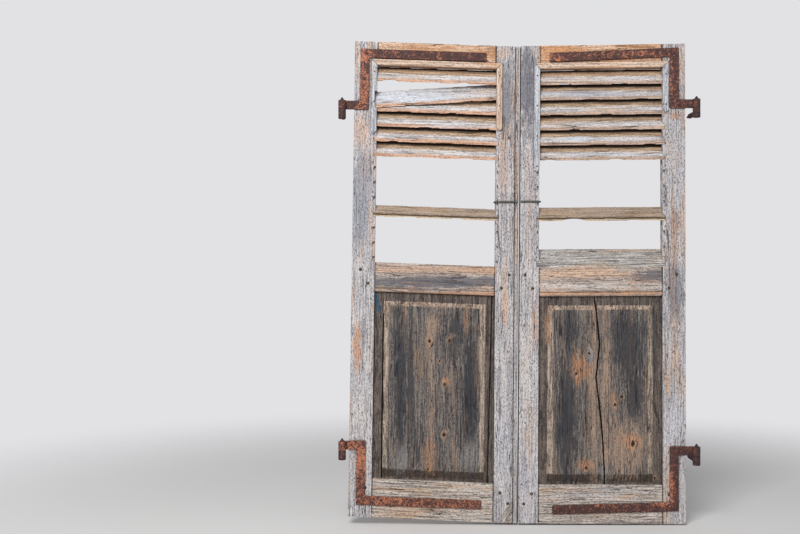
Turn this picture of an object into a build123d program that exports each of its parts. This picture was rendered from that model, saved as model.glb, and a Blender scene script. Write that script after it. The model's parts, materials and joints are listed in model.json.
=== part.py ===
"""Pair of old window shutters, half louvred and half panelled, hung on forged wall pintles.

Millimetres. +Z is up, -Y is the street side and +X is to the right as seen from the street. The
origin is at the bottom centre of the whole. The leaves are shown shut. Both have racked with age,
so every wooden piece is first placed on a square leaf, by its distance across from the hanging
edge and its height up from the foot, and then carried to the racked shape by Leaf.at.
"""

import os
from dataclasses import dataclass
from math import cos, radians, tan

from build123d import *

os.makedirs("parts", exist_ok=True)

# Leaves
leaf_height = 1488.0
leaf_width = 520.0
leaf_thickness = 34.0
meeting_gap = 4.1
hanging_stile_width = 72.0
left_meeting_stile_width = 72.0
right_meeting_stile_width = 61.0
top_rail_width = 73.0
mid_rail_foot = 707.0
mid_rail_width = 92.0
bottom_rail_width = 122.0
arris_round = 1.5

# Bead run down the meeting edge of the left leaf
edge_bead_width = 12.0
edge_bead_round = 4.0
quirk_width = 2.2
quirk_depth = 4.5

# Moulding along the foot of the mid rail
rail_moulding_height = 12.0
rail_moulding_round = 6.0

# Joints of the frame
tenon_thickness = 11.0
tenon_haunch = 22.0
tenon_clearance = 0.1
tenon_end_inset = 0.6
peg_radius = 4.5
peg_clearance = 0.05
peg_near = 20.0
peg_far = 44.0
peg_from_edge = 25.0
peg_tail = 2.0

# Raised panel
panel_groove_depth = 9.0
panel_edge_clearance = 0.5
panel_thickness = 10.0
panel_front_depth = 12.0
panel_field_rise = 6.0
panel_margin_side = 26.0
panel_margin_top = 26.0
panel_margin_foot = 3.0
panel_bevel_side = 23.0
panel_bevel_top = 18.0
panel_bevel_foot = 32.0
split_width = 1.8
narrow_board_head = 8.0
narrow_board_foot = 19.0
crack_from_shoulder = 29.0
crack_head_stop = 65.0

# Louvre
slat_count = 13
slat_thickness = 9.5
slat_slope = 53.0
slat_nose_depth = 0.5
slat_rear_depth = 30.0
slat_first_drop = 50.4
slat_seat = 1.0
slat_head_gap = 0.5
housing_depth = 8.0
housing_clearance = 0.5
slip_drop = 37.0
slip_far_hold = 3.0
slip_near_hold = 6.0
slip_rest_gap = 0.3

# Slat that has split along its length and lost its rear half, in each leaf
split_slat = 10
left_split_slat_rear = 17.0
right_split_slat_rear = 22.0
lip_height = 5.5
lip_slit = 1.0
lip_slit_depth = 2.0

# Cover beads over the housings
bead_width = 18.5
bead_thickness = 7.0
bead_round = 3.0
bead_mitre_gap = 0.3
bead_break_step = 6.0
left_hanging_bead_length = 215.0
left_meeting_bead_length = 193.0
right_hanging_bead_length = 139.0
right_meeting_bead_length = 320.0
bead_nail_first = 21.0
bead_nail_pitch = 94.0
bead_nail_count = 7
bead_nail_radius = 1.2
bead_nail_head_radius = 2.2
bead_nail_head_height = 0.8
bead_nail_stub = 1.5
bead_nail_reach = 18.0

# Straps and their nails
strap_width = 28.0
strap_thickness = 5.0
strap_bead_gap = 2.5
strap_edge_chamfer = 0.8
strap_end_round = 3.0
upper_hinge_drop = 163.0
right_arm_tilt = 12.0
lower_arm_up = 53.0
lower_hinge_rise = 171.0
eye_seam = 0.6
eye_seam_start = 2.0
strap_nail_radius = 2.0
strap_nail_head_radius = 5.0
strap_nail_head_height = 2.4
strap_nail_head_round = 1.6
strap_nail_reach = 26.0
nail_clearance = 0.05

# Pintles
pin_radius = 7.0
eye_clearance = 0.06
hinge_offset = 29.0
pintle_body_height = 30.0
pintle_gap = 0.3
pintle_chamfer = 1.5
pin_tip_height = 9.0
pin_tip_radius = 1.6
tail_collar_radius = 10.5
tail_collar_depth = 1.0
tail_radius = 8.0
tail_straight_depth = 66.0
tail_point_depth = 100.0
tail_point_radius = 2.5

# Repair let into the foot of the left meeting stile
patch_width = 46.0
patch_height = 70.0
patch_depth = 9.0

# Tie wire
wire_radius = 2.5
wire_below_bead = 92.0
wire_bend_slack = 0.1
wire_end_inset = 2.0
wire_touch_gap = 0.05

# Worked out from the sizes above
eye_bore_radius = pin_radius + eye_clearance
eye_radius = eye_bore_radius + strap_thickness
street_face = (2 * eye_radius - tail_point_depth) / 2
axis_x = meeting_gap / 2 + leaf_width + hinge_offset
axis_y = street_face - eye_radius
louvre_head = leaf_height - top_rail_width
louvre_foot = mid_rail_foot + mid_rail_width
slat_first_up = louvre_head - slat_first_drop
slat_pitch = (slat_first_up - louvre_foot - slat_seat) / (slat_count - 1)
slat_rise = tan(radians(slat_slope))
nose_height = slat_thickness / cos(radians(slat_slope))
first_slat_rear = slat_nose_depth + (slat_first_drop - nose_height - slat_head_gap) / slat_rise
slip_forward = (slip_drop - slat_pitch + nose_height + slip_rest_gap) / slat_rise
upper_arm_up = louvre_head + bead_width + strap_bead_gap + strap_width / 2
upper_hinge_up = upper_arm_up - upper_hinge_drop
lower_hinge_up = lower_arm_up + lower_hinge_rise
wire_up = louvre_head - right_meeting_bead_length - wire_below_bead
quirk_across = leaf_width - edge_bead_width - quirk_width
split_head = mid_rail_foot
split_foot = bottom_rail_width
split_middle = leaf_width / 2
tenon_front_depth = (leaf_thickness - tenon_thickness) / 2

# How far a cutting shape reaches past the face that it cuts
past = 5.0


@dataclass(frozen=True)
class Strap:
    """Z-shaped strap: hinge arm, arm along the stile and long arm along the rail."""

    name: str
    hinge_up: float
    stile_inset: float
    arm_up: float
    arm_end_up: float
    reach: float
    corner_round: float
    arm_nails: tuple
    stile_nails: tuple
    hinge_nail_across: float

    def arm_across(self):
        """Centre of the arm along the stile."""
        return hanging_stile_width - self.stile_inset - strap_width / 2

    def arm_height(self, across):
        """Centre of the long arm at a place along it."""
        return self.arm_up + (self.arm_end_up - self.arm_up) * across / self.reach

    def nail_places(self):
        """Places of the strap's nails on the square leaf."""
        along_rail = [(across, self.arm_height(across)) for across in self.arm_nails]
        along_stile = [(self.arm_across(), up) for up in self.stile_nails]
        return along_rail + along_stile + [(self.hinge_nail_across, self.hinge_up)]


@dataclass(frozen=True)
class Leaf:
    """One leaf: its side, what it still holds, and how far its corners have racked."""

    name: str
    side: int
    meeting_stile_width: float
    hanging_foot: tuple
    hanging_head: tuple
    meeting_foot: tuple
    meeting_head: tuple
    slats: tuple
    short_slats: dict
    slipped_slat: int
    hanging_bead_end: float
    meeting_bead_end: float
    panel_split: tuple
    panel_crack: tuple
    straps: tuple

    def at(self, across, up):
        """Front-view point of a place measured on the square leaf."""
        u = across / leaf_width
        v = up / leaf_height
        corners = (
            (self.hanging_foot, (1 - u) * (1 - v)),
            (self.hanging_head, (1 - u) * v),
            (self.meeting_foot, u * (1 - v)),
            (self.meeting_head, u * v),
        )
        square_x = self.side * (meeting_gap / 2 + leaf_width - across)
        shift_x = sum(shift[0] * share for shift, share in corners)
        shift_z = sum(shift[1] * share for shift, share in corners)
        return (square_x + shift_x, up + shift_z)

    def points(self, *places):
        """Front-view points of several places."""
        return [self.at(across, up) for across, up in places]

    def strip(self, across_from, across_to, up_from, up_to):
        """Corners of a four-sided piece of the leaf."""
        return self.points(
            (across_from, up_from), (across_to, up_from), (across_to, up_to), (across_from, up_to)
        )

    def meeting_shoulder(self):
        """Place of the meeting stile's louvre edge."""
        return leaf_width - self.meeting_stile_width


left_leaf = Leaf(
    name="left",
    side=-1,
    meeting_stile_width=left_meeting_stile_width,
    hanging_foot=(-11.8, 25.3),
    hanging_head=(10.9, 21.5),
    meeting_foot=(-4.9, 3.4),
    meeting_head=(4.5, 4.3),
    slats=(1, 2, 3, 4, 5, 6, 10),
    short_slats={1: first_slat_rear, split_slat: left_split_slat_rear},
    slipped_slat=2,
    hanging_bead_end=louvre_head - left_hanging_bead_length,
    meeting_bead_end=louvre_head - left_meeting_bead_length,
    panel_split=(
        (leaf_width - left_meeting_stile_width - narrow_board_head, split_head),
        (leaf_width - left_meeting_stile_width - narrow_board_foot, split_foot),
    ),
    panel_crack=(
        (hanging_stile_width + crack_from_shoulder, split_head - crack_head_stop),
        (hanging_stile_width + crack_from_shoulder, split_foot),
    ),
    straps=(
        Strap("upper", upper_hinge_up, 26.0, upper_arm_up, upper_arm_up, 415.0, 3.0,
              (37.0, 137.0, 268.0), (upper_hinge_up + 84.0,), 22.0),
        Strap("lower", lower_hinge_up, 20.0, lower_arm_up, lower_arm_up + 1.0, 410.0, 9.0,
              (150.0, 300.0), (lower_hinge_up - 79.0,), 27.0),
    ),
)

right_leaf = Leaf(
    name="right",
    side=1,
    meeting_stile_width=right_meeting_stile_width,
    hanging_foot=(0.6, 0.0),
    hanging_head=(-3.1, 13.7),
    meeting_foot=(-4.5, 3.1),
    meeting_head=(4.6, 5.9),
    slats=(1, 2, 3, 4, 5, 6, 10, 13),
    short_slats={1: first_slat_rear, split_slat: right_split_slat_rear},
    slipped_slat=0,
    hanging_bead_end=louvre_head - right_hanging_bead_length,
    meeting_bead_end=louvre_head - right_meeting_bead_length,
    panel_split=(
        (split_middle + 25.0, split_head),
        (split_middle + 8.0, split_foot + (split_head - split_foot) * 0.74),
        (split_middle + 19.0, split_foot + (split_head - split_foot) * 0.57),
        (split_middle + 4.0, split_foot + (split_head - split_foot) * 0.35),
        (split_middle - 2.0, split_foot + (split_head - split_foot) * 0.24),
        (split_middle - 10.0, split_foot),
    ),
    panel_crack=(),
    straps=(
        Strap("upper", upper_hinge_up + 14.0, 23.0, upper_arm_up + right_arm_tilt, upper_arm_up,
              428.0, 3.0, (44.0, 144.0, 276.0, 407.0), (), 24.0),
        Strap("lower", lower_hinge_up + 5.0, 20.0, lower_arm_up + 4.0, lower_arm_up - 9.0,
              415.0, 9.0, (39.0, 133.0, 396.0), (), 27.0),
    ),
)

# Bites out of the lower edges of the slats: place along the slat, half length and depth
slat_bites = {
    "left_1": ((0.12, 26.0, 6.0), (0.71, 19.0, 5.0), (0.45, 30.0, 2.0)),
    "left_2": ((0.30, 22.0, 2.5), (0.80, 34.0, 1.8)),
    "left_3": ((0.22, 30.0, 2.2), (0.62, 16.0, 3.0)),
    "left_4": ((0.40, 24.0, 2.6), (0.88, 20.0, 3.4)),
    "left_5": ((0.15, 18.0, 3.0), (0.55, 36.0, 2.0)),
    "left_6": ((0.33, 26.0, 2.4), (0.74, 22.0, 3.6)),
    "left_10": ((0.26, 34.0, 2.4), (0.66, 20.0, 3.2)),
    "right_1": ((0.35, 28.0, 3.0), (0.78, 20.0, 4.2)),
    "right_2": ((0.18, 22.0, 2.6), (0.58, 30.0, 2.0)),
    "right_3": ((0.46, 18.0, 3.4), (0.84, 26.0, 2.2)),
    "right_4": ((0.28, 30.0, 2.2), (0.70, 16.0, 3.0)),
    "right_5": ((0.12, 20.0, 2.8), (0.52, 28.0, 2.4)),
    "right_6": ((0.38, 22.0, 3.2), (0.90, 18.0, 2.6)),
    "right_10": ((0.71, 36.0, 7.0), (0.24, 24.0, 2.6)),
    "right_13": ((0.20, 36.0, 3.0), (0.60, 44.0, 2.4), (0.86, 22.0, 3.6)),
}


def depth_plane(depth):
    """Front-view plane at a depth behind the street face of the leaves."""
    return Plane.XZ.offset(-(street_face + depth))


def board(points, front, back, mode=Mode.ADD):
    """Add a front-view outline to the open part, as wood from one depth to another."""
    with BuildSketch(depth_plane(back)) as outline:
        Polygon(*points, align=None)
    extrude(outline.sketch, amount=back - front, mode=mode)


def rods(points, radius, front, back, mode=Mode.ADD):
    """Add round rods or holes to the open part, as front-view points from one depth to another."""
    with BuildSketch(depth_plane(back)) as circles:
        with Locations(*points):
            Circle(radius)
    extrude(circles.sketch, amount=back - front, mode=mode)


def tenon_ups():
    """Heights of the foot and head of the bottom, mid and top tenons."""
    return (
        (tenon_haunch, bottom_rail_width - panel_groove_depth),
        (mid_rail_foot + panel_groove_depth, louvre_foot - panel_groove_depth),
        (louvre_head + panel_groove_depth, leaf_height - tenon_haunch),
    )


def peg_places(leaf):
    """Places of the pegs: two in each tenon of the mid and bottom rails, set on a diagonal."""
    places = []
    for shoulder, outward in ((hanging_stile_width, -1), (leaf.meeting_shoulder(), 1)):
        near = shoulder + outward * peg_near
        far = shoulder + outward * peg_far
        places.append((far, louvre_foot - peg_from_edge))
        places.append((near, mid_rail_foot + peg_from_edge))
        places.append((near, bottom_rail_width - peg_from_edge - panel_groove_depth / 2))
        places.append((far, bottom_rail_width / 2))
    return places


def bead_nail_places(leaf):
    """Places of the small nails: one row down each side of the louvre, bead or no bead."""
    hanging_side = hanging_stile_width - bead_width / 2
    meeting_side = leaf.meeting_shoulder() + bead_width / 2
    heights = [louvre_head - bead_nail_first - bead_nail_pitch * row for row in range(bead_nail_count)]
    return [(hanging_side, up) for up in heights] + [(meeting_side, up) for up in heights]


def cut_fixings(leaf):
    """Cut the leaf's pegs and nails out of the open wooden part."""
    rods(leaf.points(*peg_places(leaf)), peg_radius + peg_clearance,
         -past, leaf_thickness + past, Mode.SUBTRACT)
    for strap in leaf.straps:
        rods(leaf.points(*strap.nail_places()), strap_nail_radius + nail_clearance,
             -past, strap_nail_reach + nail_clearance, Mode.SUBTRACT)
    rods(leaf.points(*bead_nail_places(leaf)), bead_nail_radius + nail_clearance,
         -past - bead_thickness, bead_nail_reach + nail_clearance, Mode.SUBTRACT)


def cut_mortises(leaf, across_from, across_to):
    """Cut the three through mortises of a stile."""
    for foot, head in tenon_ups():
        board(leaf.strip(across_from, across_to, foot - tenon_clearance, head + tenon_clearance),
              tenon_front_depth - tenon_clearance,
              tenon_front_depth + tenon_thickness + tenon_clearance, Mode.SUBTRACT)


def cut_groove(leaf, across_from, across_to, up_from, up_to):
    """Cut a stretch of the groove that holds the panel."""
    board(leaf.strip(across_from, across_to, up_from, up_to),
          panel_front_depth - tenon_clearance,
          panel_front_depth + panel_thickness + tenon_clearance, Mode.SUBTRACT)


def slat_section(leaf, across, up, nose, rear, under=0.0, over=0.0):
    """Sloping section of a slat at one place, with a plumb nose and a plumb rear edge."""
    x, z = leaf.at(across, up)
    rise = (rear - nose) * slat_rise
    with BuildSketch(Plane.YZ.offset(x)) as section:
        Polygon(
            (street_face + nose, z - under),
            (street_face + nose, z + nose_height + over),
            (street_face + rear, z + nose_height + over + rise),
            (street_face + rear, z - under + rise),
            align=None,
        )
    return section.sketch


def slat_up(number):
    """Height of a slat's lower edge in its housing."""
    return slat_first_up - slat_pitch * (number - 1)


def cut_housings(leaf, across_from, across_to, broken=0):
    """Cut the slanted housings of a stile, open to the street; the broken one has lost its sill."""
    front = -past
    rear = slat_rear_depth + housing_clearance
    for number in range(1, slat_count + 1):
        lost = slip_drop if number == broken else 0.0
        up = slat_up(number) - (slat_nose_depth - front) * slat_rise
        ends = [
            slat_section(leaf, across, up, front, rear, housing_clearance + lost, housing_clearance)
            for across in (across_from, across_to)
        ]
        loft(ends, ruled=True, mode=Mode.SUBTRACT)


def make_hanging_stile(leaf):
    """Upright at the hinge side."""
    shoulder = hanging_stile_width
    with BuildPart() as stile:
        board(leaf.strip(0, shoulder, 0, leaf_height), 0, leaf_thickness)
        outer_side = stile.faces().sort_by(Axis.X)[0 if leaf.side < 0 else -1]
        fillet(outer_side.edges().filter_by(lambda edge: edge.length > leaf_height / 2), arris_round)
        cut_mortises(leaf, -past, shoulder + past)
        cut_groove(leaf, shoulder - panel_groove_depth, shoulder + past,
                   bottom_rail_width - panel_groove_depth, mid_rail_foot + panel_groove_depth)
        cut_housings(leaf, shoulder - housing_depth, shoulder + past, leaf.slipped_slat)
        cut_fixings(leaf)
    stile.part.label = f"{leaf.name}_hanging_stile"
    export_step(stile.part, f"parts/{stile.part.label}.step")


def run_edge_bead(leaf, stile):
    """Sink the quirk beside the bead of the meeting edge and round the bead."""
    board(leaf.strip(quirk_across, leaf_width - edge_bead_width, -past, leaf_height + past),
          -past, quirk_depth, Mode.SUBTRACT)
    bead_face = stile.faces().group_by(Axis.Y)[0].sort_by(SortBy.AREA)[0]
    fillet(bead_face.edges().filter_by(lambda edge: edge.length > leaf_height / 2), edge_bead_round)


def patch_outline(leaf, over=0.0):
    """Triangle of the repair, from the foot of the stile up to the quirk; over carries it past the foot."""
    slope = patch_width / patch_height
    foot_across = quirk_across - patch_width - over * slope
    return leaf.points((foot_across, -over), (quirk_across, -over), (quirk_across, patch_height))


def make_foot_patch(leaf):
    """Repair let into the foot of the meeting stile."""
    with BuildPart() as patch:
        board(patch_outline(leaf), 0, patch_depth)
        cut_fixings(leaf)
    patch.part.label = f"{leaf.name}_foot_patch"
    export_step(patch.part, f"parts/{patch.part.label}.step")


def make_meeting_stile(leaf):
    """Upright at the middle of the window."""
    shoulder = leaf.meeting_shoulder()
    with BuildPart() as stile:
        board(leaf.strip(shoulder, leaf_width, 0, leaf_height), 0, leaf_thickness)
        if leaf is left_leaf:
            run_edge_bead(leaf, stile)
            board(patch_outline(leaf, past), -past, patch_depth, Mode.SUBTRACT)
        cut_mortises(leaf, shoulder - past, leaf_width + past)
        cut_groove(leaf, shoulder - past, shoulder + panel_groove_depth,
                   bottom_rail_width - panel_groove_depth, mid_rail_foot + panel_groove_depth)
        cut_housings(leaf, shoulder - past, shoulder + housing_depth)
        cut_fixings(leaf)
    stile.part.label = f"{leaf.name}_meeting_stile"
    export_step(stile.part, f"parts/{stile.part.label}.step")


def add_rail(leaf, foot, head, tenon):
    """Add a rail between the shoulders, and its two tenons, to the open part."""
    board(leaf.strip(hanging_stile_width, leaf.meeting_shoulder(), foot, head), 0, leaf_thickness)
    board(leaf.strip(tenon_end_inset, leaf_width - tenon_end_inset, *tenon),
          tenon_front_depth, tenon_front_depth + tenon_thickness)


def make_bottom_rail(leaf):
    """Lowest rail, grooved along its top for the panel."""
    bottom_tenon = tenon_ups()[0]
    with BuildPart() as rail:
        add_rail(leaf, 0, bottom_rail_width, bottom_tenon)
        cut_groove(leaf, hanging_stile_width, leaf.meeting_shoulder(),
                   bottom_rail_width - panel_groove_depth, bottom_rail_width + past)
        cut_fixings(leaf)
    rail.part.label = f"{leaf.name}_bottom_rail"
    export_step(rail.part, f"parts/{rail.part.label}.step")


def make_mid_rail(leaf):
    """Rail between louvre and panel, with a small moulding along its foot."""
    mid_tenon = tenon_ups()[1]
    moulding_head = mid_rail_foot + rail_moulding_height
    with BuildPart() as rail:
        add_rail(leaf, mid_rail_foot, louvre_foot, mid_tenon)
        board(leaf.strip(hanging_stile_width - past, leaf.meeting_shoulder() + past,
                         moulding_head, moulding_head + quirk_width), -past, quirk_width, Mode.SUBTRACT)
        moulding_face = rail.faces().group_by(Axis.Y)[0].sort_by(Axis.Z)[0]
        moulding_arris = moulding_face.edges().sort_by(SortBy.LENGTH)[-2:].sort_by(Axis.Z)[0]
        fillet(moulding_arris, rail_moulding_round)
        cut_groove(leaf, hanging_stile_width, leaf.meeting_shoulder(),
                   mid_rail_foot - past, mid_rail_foot + panel_groove_depth)
        cut_fixings(leaf)
    rail.part.label = f"{leaf.name}_mid_rail"
    export_step(rail.part, f"parts/{rail.part.label}.step")


def make_top_rail(leaf):
    """Head of the leaf."""
    top_tenon = tenon_ups()[2]
    with BuildPart() as rail:
        add_rail(leaf, louvre_head, leaf_height, top_tenon)
        cut_fixings(leaf)
    rail.part.label = f"{leaf.name}_top_rail"
    export_step(rail.part, f"parts/{rail.part.label}.step")


def cut_split(leaf, line):
    """Cut a split along a line of places through the whole thickness."""
    one_side = [(across - split_width / 2, up) for across, up in line]
    other_side = [(across + split_width / 2, up) for across, up in line]
    board(leaf.points(*one_side, *reversed(other_side)), -past, leaf_thickness + past, Mode.SUBTRACT)


def lengthened(line):
    """Split line of a panel, carried on through the edges that sit in the grooves."""
    (top_across, top_up), (foot_across, foot_up) = line[0], line[-1]
    reach = panel_groove_depth + past
    return ((top_across, top_up + reach), *line[1:-1], (foot_across, foot_up - reach))


def make_panel(leaf):
    """Raised and fielded panel, split lengthwise into two boards."""
    edge = panel_groove_depth - panel_edge_clearance
    hanging = hanging_stile_width
    meeting = leaf.meeting_shoulder()
    foot = bottom_rail_width
    head = mid_rail_foot
    bevel_foot_up = foot + panel_margin_foot
    bevel_head_up = head - panel_margin_top
    with BuildPart() as panel:
        board(leaf.strip(hanging - edge, meeting + edge, foot - edge, head + edge),
              panel_front_depth, panel_front_depth + panel_thickness)
        with BuildSketch(depth_plane(panel_front_depth)) as bevel_foot:
            Polygon(*leaf.strip(hanging + panel_margin_side, meeting - panel_margin_side,
                                bevel_foot_up, bevel_head_up), align=None)
        with BuildSketch(depth_plane(panel_front_depth - panel_field_rise)) as field:
            Polygon(*leaf.strip(hanging + panel_margin_side + panel_bevel_side,
                                meeting - panel_margin_side - panel_bevel_side,
                                bevel_foot_up + panel_bevel_foot,
                                bevel_head_up - panel_bevel_top), align=None)
        loft(ruled=True)
        cut_split(leaf, lengthened(leaf.panel_split))
        if leaf.panel_crack:
            cut_split(leaf, leaf.panel_crack)
    boards = panel.part.solids().sort_by(SortBy.VOLUME)
    for name, piece in (("panel_narrow", boards[0]), ("panel_wide", boards[-1])):
        with BuildPart() as panel_board:
            add(piece)
        panel_board.part.label = f"{leaf.name}_{name}"
        export_step(panel_board.part, f"parts/{panel_board.part.label}.step")


def make_slat(leaf, number):
    """One slat, worn and bitten along its lower edge."""
    rear = leaf.short_slats.get(number, slat_rear_depth)
    held = housing_depth - housing_clearance
    near = (hanging_stile_width - held, slat_up(number), slat_nose_depth, rear)
    far = (leaf.meeting_shoulder() + held, slat_up(number), slat_nose_depth, rear)
    if number == leaf.slipped_slat:
        near = (hanging_stile_width - slip_near_hold, slat_up(number) - slip_drop,
                slat_nose_depth - slip_forward, rear - slip_forward)
        far = (leaf.meeting_shoulder() + slip_far_hold, slat_up(number), slat_nose_depth, rear)
    with BuildPart() as slat:
        loft([slat_section(leaf, *near), slat_section(leaf, *far)], ruled=True)
        near_x, near_z = leaf.at(*near[:2])
        far_x, far_z = leaf.at(*far[:2])
        with BuildSketch(depth_plane(leaf_thickness)) as bites:
            for place, half_length, deep in slat_bites[f"{leaf.name}_{number}"]:
                with Locations((near_x + (far_x - near_x) * place, near_z + (far_z - near_z) * place)):
                    Ellipse(half_length, deep)
        extrude(amount=leaf_thickness + past, mode=Mode.SUBTRACT)
        if number == split_slat:
            near_across, far_across = near[0] - past, far[0] + past
            slit_foot = slat_up(number) + lip_height
            board(leaf.points((near_across, slit_foot), (far_across, slit_foot),
                              (far_across, slit_foot + lip_slit), (near_across, slit_foot + lip_slit)),
                  -past, slat_nose_depth + lip_slit_depth, Mode.SUBTRACT)
    slat.part.label = f"{leaf.name}_slat_{number}"
    export_step(slat.part, f"parts/{slat.part.label}.step")


def round_bead(bead):
    """Round the two long front edges of a cover bead."""
    front = bead.faces().sort_by(Axis.Y)[0]
    long_edges = front.edges().sort_by(SortBy.LENGTH)[-2:]
    fillet(long_edges, bead_round)


def make_head_bead(leaf):
    """Mitred cover bead under the top rail."""
    hanging = hanging_stile_width
    meeting = leaf.meeting_shoulder()
    with BuildPart() as bead:
        board(leaf.points((hanging + bead_mitre_gap, louvre_head),
                          (meeting - bead_mitre_gap, louvre_head),
                          (meeting + bead_width - bead_mitre_gap, louvre_head + bead_width),
                          (hanging - bead_width + bead_mitre_gap, louvre_head + bead_width)),
              -bead_thickness, 0)
        round_bead(bead)
    bead.part.label = f"{leaf.name}_head_bead"
    export_step(bead.part, f"parts/{bead.part.label}.step")


def make_side_bead(leaf, name, shoulder, outward, end_up):
    """Mitred cover bead down one side of the louvre, broken off at a ragged end."""
    outer = shoulder + outward * bead_width
    middle = shoulder + outward * bead_width / 2
    with BuildPart() as bead:
        board(leaf.points((shoulder, louvre_head - bead_mitre_gap),
                          (outer, louvre_head + bead_width - bead_mitre_gap),
                          (outer, end_up + bead_break_step),
                          (middle, end_up),
                          (shoulder, end_up + 2 * bead_break_step)),
              -bead_thickness, 0)
        round_bead(bead)
        if leaf.slipped_slat and outward < 0:
            notch_foot = slat_up(leaf.slipped_slat) - slip_drop - housing_clearance
            notch_head = slat_up(leaf.slipped_slat) + nose_height
            board(leaf.strip(shoulder - slip_near_hold - housing_clearance, shoulder + past,
                             notch_foot, notch_head), -bead_thickness - past, past, Mode.SUBTRACT)
        rods(leaf.points(*bead_nail_places(leaf)), bead_nail_radius + nail_clearance,
             -bead_thickness - past, past, Mode.SUBTRACT)
    bead.part.label = f"{leaf.name}_{name}_bead"
    export_step(bead.part, f"parts/{bead.part.label}.step")


def make_bead_nails(leaf):
    """Nails of the side beads: with heads in what is left of the bead, and stubs below it."""
    with BuildPart() as nails:
        for across, up in bead_nail_places(leaf):
            end_up = leaf.hanging_bead_end if across < leaf_width / 2 else leaf.meeting_bead_end
            place = [leaf.at(across, up)]
            if up > end_up + 2 * bead_break_step:
                rods(place, bead_nail_radius, -bead_thickness, bead_nail_reach)
                rods(place, bead_nail_head_radius, -bead_thickness - bead_nail_head_height,
                     -bead_thickness)
            else:
                rods(place, bead_nail_radius, -bead_nail_stub, bead_nail_reach)
    nails.part.label = f"{leaf.name}_bead_nails"
    export_step(nails.part, f"parts/{nails.part.label}.step")


def make_pegs(leaf):
    """Wooden pegs through the tenons."""
    with BuildPart() as pegs:
        rods(leaf.points(*peg_places(leaf)), peg_radius, 0, leaf_thickness + peg_tail)
    pegs.part.label = f"{leaf.name}_pegs"
    export_step(pegs.part, f"parts/{pegs.part.label}.step")


def eye_height(leaf, strap):
    """Height of the middle of a strap's eye."""
    return leaf.at(0, strap.hinge_up)[1]


def make_strap(leaf, strap):
    """Z-shaped strap of flat iron, with its eye rolled forward."""
    half = strap_width / 2
    centre = strap.arm_across()
    eye_z = eye_height(leaf, strap)
    eye_x = leaf.side * axis_x
    inner_x = leaf.at(centre + half, strap.hinge_up)[0]
    turn = 1 if strap.arm_up > strap.hinge_up else -1
    inner_corner = leaf.at(centre + half, strap.arm_height(centre) - turn * half)
    with BuildPart() as iron:
        with BuildSketch(depth_plane(0)) as outline:
            Polygon((eye_x, eye_z - half), (inner_x, eye_z - half),
                    (inner_x, eye_z + half), (eye_x, eye_z + half), align=None)
            Polygon(*leaf.strip(centre - half, centre + half,
                                *sorted((strap.hinge_up, strap.arm_height(centre)))), align=None)
            arm_start = centre - half
            start_up = strap.arm_height(arm_start)
            Polygon(*leaf.points((arm_start, start_up - half), (strap.reach, strap.arm_end_up - half),
                                 (strap.reach, strap.arm_end_up + half), (arm_start, start_up + half)),
                    align=None)
            corner = outline.vertices().sort_by_distance(Vector(*inner_corner))[0]
            fillet(corner, strap.corner_round)
            far_x, far_z = leaf.at(strap.reach, strap.arm_end_up)
            fillet(outline.vertices().sort_by_distance(Vector(far_x, far_z))[:2], strap_end_round)
        extrude(amount=strap_thickness)
        chamfer(iron.faces().sort_by(Axis.Y)[0].edges(), strap_edge_chamfer)
        with BuildSketch(Plane.XY.offset(eye_z - half)) as eye:
            with Locations((eye_x, axis_y)):
                Circle(eye_radius)
        extrude(amount=strap_width)
        with BuildSketch(Plane.XY.offset(eye_z - half)) as bore:
            with Locations((eye_x, axis_y)):
                Circle(eye_bore_radius)
        extrude(amount=strap_width, mode=Mode.SUBTRACT)
        with BuildSketch(Plane.XY.offset(eye_z - half)) as seam:
            seam_from = eye_x - leaf.side * eye_seam_start
            seam_to = eye_x - leaf.side * (eye_radius + past)
            plate_front = street_face - strap_thickness
            Polygon((seam_from, plate_front - eye_seam), (seam_to, plate_front - eye_seam),
                    (seam_to, plate_front), (seam_from, plate_front), align=None)
        extrude(amount=strap_width, mode=Mode.SUBTRACT)
        rods(leaf.points(*strap.nail_places()), strap_nail_radius + nail_clearance,
             -past - strap_thickness, past, Mode.SUBTRACT)
    iron.part.label = f"{leaf.name}_{strap.name}_strap"
    export_step(iron.part, f"parts/{iron.part.label}.step")


def make_strap_nails(leaf):
    """Forged nails of both straps, with domed heads."""
    places = [place for strap in leaf.straps for place in strap.nail_places()]
    head_foot = -strap_thickness
    with BuildPart() as nails:
        rods(leaf.points(*places), strap_nail_head_radius, head_foot - strap_nail_head_height, head_foot)
        fillet(nails.faces().group_by(Axis.Y)[0].edges(), strap_nail_head_round)
        rods(leaf.points(*places), strap_nail_radius, head_foot, strap_nail_reach)
    nails.part.label = f"{leaf.name}_strap_nails"
    export_step(nails.part, f"parts/{nails.part.label}.step")


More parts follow.
